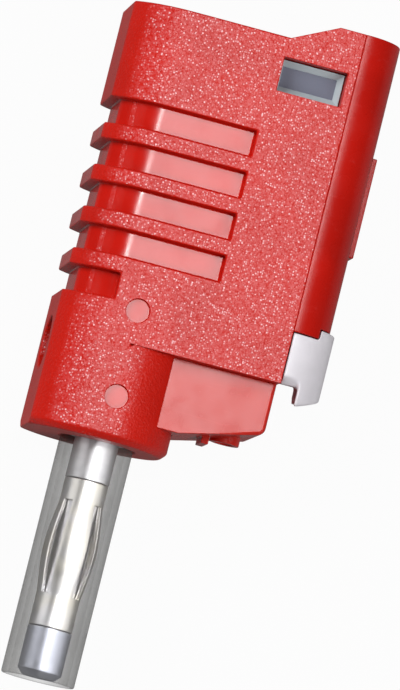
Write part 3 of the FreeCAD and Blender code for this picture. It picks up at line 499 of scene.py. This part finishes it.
def clear_plastic(colours):
    """Clear moulded plastic dulled to a grey haze, denser where it is seen edge on."""
    material, tree, shader, spot = new_material("clear_plastic")
    marks = use_group(tree, "Handling Marks", {"Vector": spot, "Marks per Metre": 700.0})
    flow = use_group(tree, "Moulding Flow", {"Vector": spot, "Waves per Metre": 260.0})
    base = colours.sleeve
    # The outer skin gets denser towards its edges and the bore thinner, so the haze looks even
    edge = add(tree, "ShaderNodeLayerWeight", {"Blend": 0.5}).outputs["Facing"]
    from_axis = add(tree, "ShaderNodeMapping",
                    {"Vector": spot, "Location": tuple(-place(0, 0))}).outputs[0]
    across = add(tree, "ShaderNodeVectorMath", {0: from_axis, 1: (1.0, 0.0, 1.0)},
                 operation="MULTIPLY").outputs[0]
    distance = add(tree, "ShaderNodeVectorMath", {0: across}, operation="LENGTH").outputs["Value"]
    outside = math_node(tree, "GREATER_THAN", distance, SLEEVE_WALL)
    middle = colours.haze * 0.5
    skin = ramp(tree, math_node(tree, "POWER", edge, 0.5), 0.0, 1.0, middle, middle + EDGE_HAZE)
    bore = ramp(tree, edge, 0.0, 1.0, middle, middle * 0.8)
    cover = math_node(tree, "ADD", times(tree, outside, skin),
                      times(tree, math_node(tree, "SUBTRACT", 1.0, outside), bore))
    cover = math_node(tree, "ADD", cover, times(tree, marks["Dull"], DULL_HAZE), clamp=True)
    # Light passes nearly unhindered to the pin, so the haze dulls only what is seen through it
    path = add(tree, "ShaderNodeLightPath").outputs
    passing = math_node(tree, "MAXIMUM", path["Is Shadow Ray"], path["Is Glossy Ray"])
    cover = times(tree, cover, ramp(tree, passing, 0.0, 1.0, 1.0, HAZE_FOR_LIGHT))
    feed(tree, shader, {
        "Base Color": blend_colours(tree, flow["Share"], base, toned(base, 0.8)), "Alpha": cover,
        "Roughness": ramp(tree, marks["Dull"], 0.0, 1.0, 0.22, 0.34),
        "Normal": bump(tree, flow["Height"], 0.01 * MM, 0.5)})
    return material


MATERIALS = {}


def finish_of(name):
    """One of the plug's materials, made the first time that it is asked for."""
    colours = bpy.context.scene.plug_colours
    # A red's numbers are its roughness, grain and wear, and a metal's last is its roughness
    makers = {
        "textured_red": lambda: textured_red(colours),
        "polished_red": lambda: plain_red("polished_red", colours.polished, 0.14, 0.010 * MM, 0.25),
        "smooth_red": lambda: plain_red(
            "smooth_red", colours.cover, 0.24, 0.015 * MM, 0.3, specular=0.35),
        "insert_red": lambda: plain_red("insert_red", colours.carrier, 0.20, 0.020 * MM, 0.4),
        "white_plastic": lambda: white_plastic(colours),
        "grey_plastic": lambda: grey_plastic("button_grey", colours.button, 0.55),
        # Painted light: the sloped faces get a lighter grey than the dish's floor
        "painted_light_grey_slopes": lambda: grey_plastic("button_painted_light_slopes", colours.painted_light_slopes, 0.34),
        "clear_plastic": lambda: clear_plastic(colours),
        "nickel": lambda: turned_metal(
            "nickel", (0.94, 0.93, 0.95), (0.84, 0.84, 0.88), 0.38, cool_below=TIP_START),
        "nickel_across": lambda: turned_metal(
            "nickel_across", (0.74, 0.73, 0.72), (0.50, 0.49, 0.48), 0.32, axis="X"),
        "leaf_plating": lambda: sheet_metal(
            "leaf_plating", (0.97, 0.96, 0.98), (0.96, 0.92, 0.82), 0.36),
        "spring_steel": lambda: sheet_metal(
            "spring_steel", (0.58, 0.58, 0.57), (0.40, 0.40, 0.41), 0.28),
        "tinned_copper": lambda: sheet_metal(
            "tinned_copper", (0.70, 0.68, 0.66), (0.52, 0.49, 0.47), 0.30),
        "brass_block": lambda: sheet_metal(
            "brass_block", (0.74, 0.56, 0.28), (0.56, 0.40, 0.18), 0.26),
    }
    if name not in MATERIALS:
        MATERIALS[name] = makers[name]()
    return MATERIALS[name]


# Mesh building

def show(name, mesh, materials):
    """Links a finished mesh as an object at the origin, with its materials."""
    piece = bpy.data.objects.new(name, mesh)
    bpy.context.scene.collection.objects.link(piece)
    for material in materials:
        mesh.materials.append(material)
    return piece


def to_mesh(name, shape):
    """A shape's mesh. The shape is freed."""
    mesh = bpy.data.meshes.new(name)
    shape.to_mesh(mesh)
    shape.free()
    return mesh


def settle(piece):
    """Turns a piece with live modifiers into a plain mesh of its own."""
    graph = bpy.context.evaluated_depsgraph_get()
    mesh = bpy.data.meshes.new_from_object(piece.evaluated_get(graph), depsgraph=graph)
    piece.modifiers.clear()
    piece.data = mesh


def hand_over(piece, body, node):
    """The piece rides on its body and stands for its node, which is hidden."""
    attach(piece, body)
    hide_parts(node)


def welded(node):
    """A frame node's triangles as one shape, with their corners merged."""
    shape = bmesh.new()
    shape.from_mesh(NODES[node].data)
    bmesh.ops.remove_doubles(shape, verts=shape.verts, dist=WELD)
    return shape


def share_at(zones, spot, elsewhere):
    """The share of the first zone that holds a spot, or the share for elsewhere."""
    for share, low, high in zones:
        if all(least < here < most for least, here, most in zip(low, spot, high)):
            return share
    return elsewhere


def steady_wide_faces(mesh):
    """Gives a wide face its own direction where a corner was turned too far from it."""
    normals = [corner.vector.copy() for corner in mesh.corner_normals]
    for face in mesh.polygons:
        least = min(face.normal.dot(normals[loop]) for loop in face.loop_indices)
        if face.area > WIDE_FACE and least < STRAY_NORMAL:
            for loop in face.loop_indices:
                normals[loop] = face.normal.copy()
    mesh.normals_split_custom_set(normals)


def rounded_copy(node, name, width, materials, choose=None, zones=(), elsewhere=1.0, held=False):
    """A copy of a frame node whose sharp edges are rounded.

    choose gives a face's material number, zones and elsewhere the share of the rounding that an
    edge gets, and held keeps each rounding within its neighbours.
    """
    shape = welded(node)
    bmesh.ops.dissolve_limit(shape, angle_limit=FLAT_TURN, verts=shape.verts, edges=shape.edges)
    for face in shape.faces:
        face.smooth = True
        spot = from_foot(face.calc_center_median())
        face.material_index = choose(spot, face.normal) if choose else 0
    weight = shape.edges.layers.float.new("bevel_weight_edge")
    for edge in shape.edges:
        if edge.calc_face_angle(0.0) > CORNER_TURN:
            middle = (edge.verts[0].co + edge.verts[1].co) / 2
            edge[weight] = share_at(zones, from_foot(middle), elsewhere)
            edge.smooth = edge[weight] > 0.0
    piece = show(name, to_mesh(name, shape), materials)
    bevel = piece.modifiers.new("Rounding", "BEVEL")
    bevel.width = width
    bevel.segments = 3
    bevel.limit_method = "WEIGHT"
    bevel.use_clamp_overlap = held
    even = piece.modifiers.new("Flat Faces", "WEIGHTED_NORMAL")
    even.mode = "FACE_AREA"
    even.weight = 60
    even.keep_sharp = True
    settle(piece)
    steady_wide_faces(piece.data)
    return piece


def lathe(name, profile, steps=96):
    """A closed profile of (radius, height) in millimetres, turned round the pin's axis."""
    front, side = Vector((0, 0, 1)), Vector((1, 0, 0))
    shape = bmesh.new()
    rings = []
    for number in range(steps):
        turn = math.tau * number / steps
        out = front * math.cos(turn) + side * math.sin(turn)
        rings.append([shape.verts.new(place(0, 0) + UP * (height * MM) + out * (radius * MM))
                      for radius, height in profile])
    for number, ring in enumerate(rings):
        following = rings[(number + 1) % steps]
        for here in range(len(profile)):
            there = (here + 1) % len(profile)
            shape.faces.new((ring[here], ring[there], following[there], following[here]))
    bmesh.ops.remove_doubles(shape, verts=shape.verts, dist=WELD)
    bmesh.ops.recalc_face_normals(shape, faces=shape.faces)
    for face in shape.faces:
        face.smooth = True
    mesh = to_mesh(name, shape)
    mesh.set_sharp_from_angle(angle=math.radians(32))
    return mesh


def rounded_profile(points, radius):
    """A closed profile whose corners are cut by small arcs, each within a third of its sides."""
    tiny, shortest_cut, straight, steps = 1e-6, 1e-4, 0.1, 4
    corners = [Vector(point) for point in points]
    made = []
    for number, corner in enumerate(corners):
        before, after = corners[number - 1], corners[(number + 1) % len(corners)]
        back, forth = before - corner, after - corner
        turn = back.angle(forth) if back.length > tiny and forth.length > tiny else math.pi
        cut = min(radius, back.length / 3, forth.length / 3)
        if abs(turn - math.pi) < straight or cut < shortest_cut or corner.x < tiny:
            made.append(corner)
            continue
        start, end = corner + back.normalized() * cut, corner + forth.normalized() * cut
        for step in range(steps + 1):
            share = step / steps
            made.append(start * (1 - share) ** 2 + corner * (2 * share * (1 - share))
                        + end * share ** 2)
    return [(point.x, point.y) for point in made]


# Operators, one for each piece or group of like pieces

def housing_finish(spot, normal):
    """Number of a housing face's material: 1 on the groove floors and dimples, and 0 elsewhere."""
    right, up, out = spot
    skin = HALF_MM - SKIN
    if GRIP_LOW < up < GRIP_HIGH and right < GRIP_RIGHT:
        below = math.hypot(min(right - GRIP_BEND, 0.0), out) < skin
        return int(below and max(abs(out), -right) > GROOVE_CORE)
    in_dimple = abs(right) < DIMPLE_RADIUS and out > skin and abs(normal.z) > 0.9
    return int(in_dimple and min(abs(up - height) for height in DIMPLES) < 0.4)


class PLUG_OT_housing(Operator):
    """Housing with rounded ribs, a spark-eroded skin and polished groove floors"""
    bl_idname = "plug.housing"
    bl_label = "Housing"

    def execute(self, context):
        piece = rounded_copy("housing", "moulded_housing", context.scene.plug_shape.housing_edge,
                             [finish_of("textured_red"), finish_of("polished_red")],
                             housing_finish, HOUSING_ZONES, elsewhere=0.5)
        hand_over(piece, "plug", "housing")
        return {"FINISHED"}


class PLUG_OT_end_cover(Operator):
    """Smooth end cover with rounded corners and its raised pad"""
    bl_idname = "plug.end_cover"
    bl_label = "End Cover"

    def execute(self, context):
        piece = rounded_copy("end_cover", "smooth_cover", context.scene.plug_shape.cover_edge,
                             [finish_of("smooth_red")])
        hand_over(piece, "plug", "end_cover")
        return {"FINISHED"}


def sliced_copy(node, cuts):
    """A node's mesh cut by planes, each a point and a way out, and closed again."""
    shape = welded(node)
    for spot, away in cuts:
        everything = shape.verts[:] + shape.edges[:] + shape.faces[:]
        bmesh.ops.bisect_plane(shape, geom=everything, plane_co=place(*spot), plane_no=away,
                               clear_outer=True)
        bmesh.ops.holes_fill(shape, edges=[edge for edge in shape.edges if edge.is_boundary],
                             sides=0)
    return shape


def even_out(shape, right_of, below, turns):
    """Draws the points right of one line and below another towards their neighbours."""
    points = [vert for vert in shape.verts
              if from_foot(vert.co)[0] > right_of and from_foot(vert.co)[1] < below]
    for turn in range(turns):
        bmesh.ops.smooth_vert(shape, verts=points, factor=0.5,
                              use_axis_x=True, use_axis_y=True, use_axis_z=True)


def nail_lip():
    """The clip's nail lip, flush with the front, and shorter and narrower towards the back."""
    lip = sliced_copy("strain_relief_clip", [
        ((0, LIP_NECK, 0), (0, -1, 0)), ((0, LIP_ROOT, 0), (0, 1, 0)),
        ((LIP_LEFT, 0, 0), (-1, 0, 0)), ((0, 0, 0), (0, 0, -1))])
    for vert in lip.verts:
        right, up, out = from_foot(vert.co)
        back = CLIP_FRONT - out
        if up < LIP_NECK + 0.1:
            up = LIP_LOW + LIP_RISE * (right - LIP_LEFT) + LIP_SHORTER * back
        if right < LIP_LEFT + 0.05:
            right += LIP_NARROWER * back
        vert.co = place(right, up, out)
    return to_mesh("nail_lip", lip)


class PLUG_OT_wire_clip(Operator):
    """White wire clip with its nail lip"""
    bl_idname = "plug.wire_clip"
    bl_label = "Wire Clip"

    def execute(self, context):
        # The body's underside rises to the back, and its low front edge is cut off
        shape = sliced_copy("strain_relief_clip", [
            ((0, LEDGE, CLIP_FRONT), (0, -1, -0.11)),
            ((0, LIP_NECK, CLIP_FRONT + 0.05), (0, -0.75, 0.66))])
        shape.from_mesh(nail_lip())
        bmesh.ops.recalc_face_normals(shape, faces=shape.faces)
        piece = show("white_clip", to_mesh("white_clip", shape), [finish_of("white_plastic")])
        fused = piece.modifiers.new("Fused", "REMESH")
        fused.mode = "VOXEL"
        fused.voxel_size = 0.1 * MM
        settle(piece)

        # The part that shows gets rounder edges, and the lip more so
        shape = bmesh.new()
        shape.from_mesh(piece.data)
        even_out(shape, CLIP_OUTSIDE, CLIP_HIGH, turns=2)
        even_out(shape, LIP_LEFT - 1.0, LIP_NECK + 0.4, turns=8)
        for face in shape.faces:
            face.smooth = True
        shape.to_mesh(piece.data)
        shape.free()
        hand_over(piece, "clip", "strain_relief_clip")
        return {"FINISHED"}


class PLUG_OT_carrier(Operator):
    """Polished carrier of the cross socket"""
    bl_idname = "plug.carrier"
    bl_label = "Socket Carrier"

    def execute(self, context):
        piece = rounded_copy("socket_carrier", "polished_carrier",
                             context.scene.plug_shape.carrier_edge, [finish_of("insert_red")],
                             zones=CARRIER_ZONES, elsewhere=0.2)
        hand_over(piece, "plug", "socket_carrier")
        return {"FINISHED"}


def button_finish(spot, normal):
    """Number of a button face's material: 0 on the dish's floor, and 1, a lighter grey of painted
    light, elsewhere.
    """
    return 0 if abs(normal.z) > 0.99 and spot[2] < HALF_MM - BUTTON_DISH else 1


class PLUG_OT_button(Operator):
    """Dished release button in the window"""
    bl_idname = "plug.button"
    bl_label = "Release Button"

    def execute(self, context):
        piece = rounded_copy("release_button", "dished_button",
                             context.scene.plug_shape.button_edge,
                             [finish_of("grey_plastic"), finish_of("painted_light_grey_slopes")],
                             button_finish, held=True)
        hand_over(piece, "button", "release_button")
        return {"FINISHED"}


class PLUG_OT_pin(Operator):
    """Turned pin with its collar and the waist under the basket"""
    bl_idname = "plug.pin"
    bl_label = "Pin"

    def execute(self, context):
        head, collar, shank, waist, nose = 1.48, 2.4, 1.8, 1.43, 1.3
        collar_top, collar_low, waist_top, waist_low, nose_long = 2.4, 0.3, -3.1, -15.3, 0.5
        top, tip = (PIN_HIGH.y - FOOT_Y) / MM, (PIN_LOW.y - FOOT_Y) / MM
        profile = [(0, top), (head, top), (head, collar_top), (collar, collar_top),
                   (collar, collar_low), (shank, collar_low), (shank, waist_top),
                   (waist, waist_top), (waist, waist_low), (shank, waist_low),
                   (shank, tip + nose_long), (nose, tip), (0, tip)]
        mesh = lathe("turned_pin", rounded_profile(profile, 0.08))
        piece = show("turned_pin", mesh, [finish_of("nickel")])
        hand_over(piece, "plug", "plug_pin")
        metal_parts().objects.link(piece)
        return {"FINISHED"}


def basket_tree(material):
    """Geometry Nodes for the basket: a leaf and its share of both rings, repeated round the pin."""
    tree = bpy.data.node_groups.new("Contact Basket", "GeometryNodeTree")
    sockets = {"Leaves": 4, "Length": 12.1 * MM, "Leaf Start": 1.85 * MM, "Leaf Length": 7.6 * MM,
               "Radius": 1.48 * MM, "Bow": 0.38 * MM, "Slot": 0.7 * MM, "Fullness": 0.62}
    for name, default in sockets.items():
        kind = "NodeSocketInt" if name == "Leaves" else "NodeSocketFloat"
        made = tree.interface.new_socket(name, in_out="INPUT", socket_type=kind)
        made.default_value = default
    tree.interface.new_socket("Geometry", in_out="OUTPUT", socket_type="NodeSocketGeometry")
    given = tree.nodes.new("NodeGroupInput").outputs
    end = tree.nodes.new("NodeGroupOutput")

    def work(operation, first, second=0.0):
        return math_node(tree, operation, first, second)

    # A flat grid stands for one leaf: X runs across it, and Y along it
    sector = work("DIVIDE", math.tau, given["Leaves"])
    grid = add(tree, "GeometryNodeMeshGrid",
               {"Size X": 1.0, "Size Y": 1.0, "Vertices X": 21, "Vertices Y": 122})
    position = add(tree, "GeometryNodeInputPosition").outputs[0]
    spot = add(tree, "ShaderNodeSeparateXYZ", {"Vector": position}).outputs
    across = spot["X"]
    along = work("MULTIPLY", work("ADD", spot["Y"], 0.5), given["Length"])
    share = work("DIVIDE", work("SUBTRACT", along, given["Leaf Start"]), given["Leaf Length"])
    share = work("MINIMUM", work("MAXIMUM", share, 0.0), 1.0)
    # The leaf's bow is half a wave, made fuller
    wave = work("COSINE", work("MULTIPLY", share, math.tau))
    swell = work("POWER", work("SUBTRACT", 0.5, work("MULTIPLY", wave, 0.5)), given["Fullness"])
    radius = work("ADD", given["Radius"], work("MULTIPLY", swell, given["Bow"]))
    angle = work("MULTIPLY", across, sector)
    rolled = add(tree, "ShaderNodeCombineXYZ", {
        "X": work("MULTIPLY", radius, work("SINE", angle)),
        "Y": work("MULTIPLY", along, -1.0),
        "Z": work("MULTIPLY", radius, work("COSINE", angle))}).outputs[0]
    # A slot is where the share lies inside the leaf's ends, near the sector's side
    inside = work("MULTIPLY", work("GREATER_THAN", share, 0.0), work("LESS_THAN", share, 1.0))
    arc = work("MULTIPLY", given["Radius"], sector)
    reach = work("SUBTRACT", 0.5, work("DIVIDE", work("DIVIDE", given["Slot"], 2.0), arc))
    beside = work("GREATER_THAN", work("ABSOLUTE", across), reach)
    cut = add(tree, "GeometryNodeDeleteGeometry",
              {"Geometry": grid.outputs["Mesh"], "Selection": work("MULTIPLY", inside, beside)},
              domain="FACE")
    bent = add(tree, "GeometryNodeSetPosition",
               {"Geometry": cut.outputs["Geometry"], "Position": rolled})
    count = add(tree, "GeometryNodeMeshLine", {"Count": given["Leaves"], "Offset": (0.0, 0.0, 0.0)})
    number = add(tree, "GeometryNodeInputIndex").outputs[0]
    turn = add(tree, "ShaderNodeCombineXYZ", {"Y": work("MULTIPLY", number, sector)}).outputs[0]
    repeated = add(tree, "GeometryNodeInstanceOnPoints",
                   {"Points": count.outputs["Mesh"], "Instance": bent.outputs["Geometry"],
                    "Rotation": turn})
    whole = add(tree, "GeometryNodeRealizeInstances", {"Geometry": repeated.outputs["Instances"]})
    joined = add(tree, "GeometryNodeMergeByDistance",
                 {"Geometry": whole.outputs["Geometry"], "Distance": 0.002 * MM})
    dressed = add(tree, "GeometryNodeSetMaterial",
                  {"Geometry": joined.outputs["Geometry"], "Material": material})
    feed(tree, end, {"Geometry": dressed.outputs["Geometry"]})
    return tree


class PLUG_OT_basket(Operator):
    """Contact basket: a rolled sheet whose middle is slit into bowed leaves"""
    bl_idname = "plug.basket"
    bl_label = "Contact Basket"

    def execute(self, context):
        sizes = context.scene.plug_shape
        low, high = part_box("contact_basket")
        plating = finish_of("leaf_plating")
        piece = show("bowed_basket", bpy.data.meshes.new("bowed_basket"), [])
        tree = basket_tree(plating)
        maker = piece.modifiers.new("Basket", "NODES")
        maker.node_group = tree
        values = {"Leaves": sizes.leaves, "Length": high.y - low.y, "Radius": sizes.ring_radius,
                  "Bow": sizes.leaf_bow, "Slot": sizes.leaf_slot}
        for item in tree.interface.items_tree:
            if item.in_out == "INPUT" and item.name in values:
                maker[item.identifier] = values[item.name]
        sheet = piece.modifiers.new("Sheet", "SOLIDIFY")
        sheet.thickness = 0.3 * MM
        sheet.offset = -1.0
        edge = piece.modifiers.new("Edges", "BEVEL")
        edge.width = 0.05 * MM
        edge.segments = 2
        edge.limit_method = "ANGLE"
        edge.angle_limit = math.radians(50)
        settle(piece)
        piece.data.materials.clear()
        piece.data.materials.append(plating)
        piece.data.transform(Matrix.Translation((PIN_X, high.y, MIDDLE_Z)))
        piece.data.shade_smooth()
        piece.data.set_sharp_from_angle(angle=math.radians(40))
        hand_over(piece, "plug", "contact_basket")
        metal_parts().objects.link(piece)
        return {"FINISHED"}


class PLUG_OT_sleeve(Operator):
    """Clear sleeve with rounded ends"""
    bl_idname = "plug.sleeve"
    bl_label = "Clear Sleeve"

    def execute(self, context):
        low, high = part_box("protective_sleeve")
        outer = (high.x - low.x) / 2 / MM
        bore = outer - 0.55
        end, top = (low.y - FOOT_Y) / MM, (high.y - FOOT_Y) / MM
        profile = [(bore, top), (bore, end), (outer, end), (outer, top)]
        mesh = lathe("clear_sleeve", rounded_profile(profile, 0.30), steps=128)
        piece = show("clear_sleeve", mesh, [finish_of("clear_plastic")])
        hand_over(piece, "sleeve", "protective_sleeve")
        return {"FINISHED"}


class PLUG_OT_sockets(Operator):
    """Finishes of the two turned sockets and of the sheet parts inside"""
    bl_idname = "plug.sockets"
    bl_label = "Sockets and Inner Parts"

    def execute(self, context):
        finishes = {"axial_socket": "nickel", "cross_socket": "nickel_across",
                    "lock_washer": "spring_steel", "clamp_spring": "spring_steel",
                    "current_bar": "tinned_copper", "contact_block": "brass_block"}
        for node, finish in finishes.items():
            data = NODES[node].data
            data.materials.clear()
            data.materials.append(finish_of(finish))
            metal_parts().objects.link(NODES[node])
        return {"FINISHED"}


# Lamps: the place from the plug's middle, the width and height, the setting that gives the power
# and its share, whether gloss mirrors the lamp, and whether it lights the metal parts alone
LAMPS = {
    "front_lamp": ((0.040, 0.075, 0.50), (0.13, 0.20), "front_power", 1.0, True, False),
    "strip_lamp": ((-0.037, 0.075, 0.50), (0.018, 0.13), "strip_power", 1.0, True, False),
    "left_lamp": ((-0.42, 0.18, 0.36), (0.30, 0.30), "left_power", 1.0, False, False),
    "right_lamp": ((0.40, -0.22, 0.42), (0.30, 0.30), "right_power", 1.0, False, False),
    "metal_lamp": ((0.12, 0.05, 0.30), (1.30, 0.30), "metal_power", 1.0, True, True),
    "metal_fill_left": ((-0.34, 0.05, 0.10), (0.25, 0.40), "metal_power", 0.16, True, True),
    "metal_fill_right": ((0.36, 0.05, 0.10), (0.25, 0.40), "metal_power", 0.16, True, True),
}

# The floor's tone for most rays and for gloss, and its share of plain white for the camera and
# for gloss
FLOOR_TONE, FLOOR_IN_GLOSS = 0.36, 0.11
FLOOR_WHITE, WHITE_IN_GLOSS = 0.96, 0.1

# The camera's place in millimetres as place takes it, and its turn as an axis times an angle
CAMERA_SPOT = (-60.961, -50.783, 525.040)
CAMERA_TURN = Vector((0.09788654, -0.14034276, 0.250515))


def area_lamp(name, spot, aim, size, power, mirrored, metal_only):
    """A rectangular lamp at a place, turned to a point."""
    data = bpy.data.lights.new(name, "AREA")
    data.shape = "RECTANGLE"
    data.size, data.size_y = size
    data.energy = power
    lamp = bpy.data.objects.new(name, data)
    lamp.location = spot
    lamp.visible_glossy = mirrored
    lamp.rotation_mode = "QUATERNION"
    lamp.rotation_quaternion = (aim - spot).to_track_quat("-Z", "Y")
    if metal_only:
        lamp.light_linking.receiver_collection = metal_parts()
    bpy.context.scene.collection.objects.link(lamp)


def metal_parts():
    """The collection of the pieces that the metal lamps light."""
    return bpy.data.collections.get("metal parts") or bpy.data.collections.new("metal parts")


def pale_floor():
    """Pale matt floor that stays white to the camera but keeps the shadow."""
    material = bpy.data.materials.new("pale_floor")
    material.use_nodes = True
    tree = material.node_tree
    shader = tree.nodes["Principled BSDF"]
    path = add(tree, "ShaderNodeLightPath").outputs
    seen = math_node(tree, "MAXIMUM", path["Is Camera Ray"], path["Is Transmission Ray"])
    seen = math_node(tree, "MAXIMUM", seen, times(tree, path["Is Glossy Ray"], WHITE_IN_GLOSS))
    feed(tree, shader, {
        "Base Color": ramp(tree, path["Is Glossy Ray"], 0.0, 1.0, FLOOR_TONE, FLOOR_IN_GLOSS),
        "Roughness": 0.9, "Specular IOR Level": 0.1})
    white = add(tree, "ShaderNodeEmission", {"Color": (1.0, 1.0, 1.0), "Strength": 1.0})
    mixed = add(tree, "ShaderNodeMixShader", {0: times(tree, seen, FLOOR_WHITE),
                                              1: shader.outputs["BSDF"],
                                              2: white.outputs["Emission"]})
    feed(tree, tree.nodes["Material Output"], {"Surface": mixed.outputs[0]})
    return material


class PLUG_OT_stage(Operator):
    """Floor, lamps and camera"""
    bl_idname = "plug.stage"
    bl_label = "Stage"

    def execute(self, context):
        scene = context.scene
        settings = scene.plug_stage
        shape = bmesh.new()
        bmesh.ops.create_grid(shape, x_segments=1, y_segments=1, size=3.0)
        mesh = to_mesh("floor", shape)
        mesh.transform(Matrix.Translation((0, 0, CAD_BOX[0].z - 0.01 * MM)))
        floor = show("floor", mesh, [pale_floor()])

        middle = (CAD_BOX[0] + CAD_BOX[1]) / 2
        for name, (away, size, power, share, mirrored, metal_only) in LAMPS.items():
            area_lamp(name, middle + Vector(away), middle, size, getattr(settings, power) * share,
                      mirrored, metal_only)

        world = bpy.data.worlds.new("room")
        world.use_nodes = True
        feed(world.node_tree, world.node_tree.nodes["Background"],
             {"Color": (1.0, 1.0, 1.0), "Strength": settings.sky})
        scene.world = world
        scene.view_settings.view_transform = "Standard"

        data = bpy.data.cameras.new("camera")
        data.sensor_fit = "AUTO"
        data.sensor_width = 36.0
        data.lens = settings.lens
        data.clip_start, data.clip_end = 0.05, 10.0
        camera = bpy.data.objects.new("camera", data)
        camera.matrix_world = (Matrix.Translation(place(*CAMERA_SPOT))
                               @ Matrix.Rotation(CAMERA_TURN.length, 4, CAMERA_TURN.normalized()))
        scene.collection.objects.link(camera)
        scene.camera = camera
        return {"FINISHED"}


PIECE_OPERATORS = (PLUG_OT_housing, PLUG_OT_end_cover, PLUG_OT_wire_clip, PLUG_OT_carrier,
                   PLUG_OT_button, PLUG_OT_pin, PLUG_OT_basket, PLUG_OT_sleeve, PLUG_OT_sockets)


class PLUG_PT_panel(Panel):
    """Lists the plug's sizes, colours and pieces"""
    bl_idname = "PLUG_PT_panel"
    bl_label = "Stackable Plug"
    bl_space_type = "VIEW_3D"
    bl_region_type = "UI"
    bl_category = "Plug"

    def draw(self, context):
        layout = self.layout
        scene = context.scene
        for title, group in (("Shape", scene.plug_shape), ("Colours", scene.plug_colours),
                             ("Stage", scene.plug_stage)):
            box = layout.box()
            box.label(text=title)
            for name in group.__annotations__:
                box.prop(group, name)
        column = layout.column(align=True)
        for operator in (PLUG_OT_stage, *PIECE_OPERATORS):
            column.operator(operator.bl_idname)


CLASSES = (PlugShape, PlugColours, StageSettings, PLUG_OT_stage, *PIECE_OPERATORS, PLUG_PT_panel)


def register():
    """Registers the classes and puts their settings on the scene."""
    for item in CLASSES:
        bpy.utils.register_class(item)
    bpy.types.Scene.plug_shape = PointerProperty(type=PlugShape)
    bpy.types.Scene.plug_colours = PointerProperty(type=PlugColours)
    bpy.types.Scene.plug_stage = PointerProperty(type=StageSettings)


def unregister():
    """Takes the settings off the scene and the classes out again."""
    del bpy.types.Scene.plug_stage
    del bpy.types.Scene.plug_colours
    del bpy.types.Scene.plug_shape
    for item in reversed(CLASSES):
        bpy.utils.unregister_class(item)


def main():
    register()
    bpy.ops.plug.stage()
    bpy.ops.plug.housing()
    bpy.ops.plug.end_cover()
    bpy.ops.plug.wire_clip()
    bpy.ops.plug.carrier()
    bpy.ops.plug.button()
    bpy.ops.plug.pin()
    bpy.ops.plug.basket()
    bpy.ops.plug.sleeve()
    bpy.ops.plug.sockets()


if __name__ == "__main__":
    main()
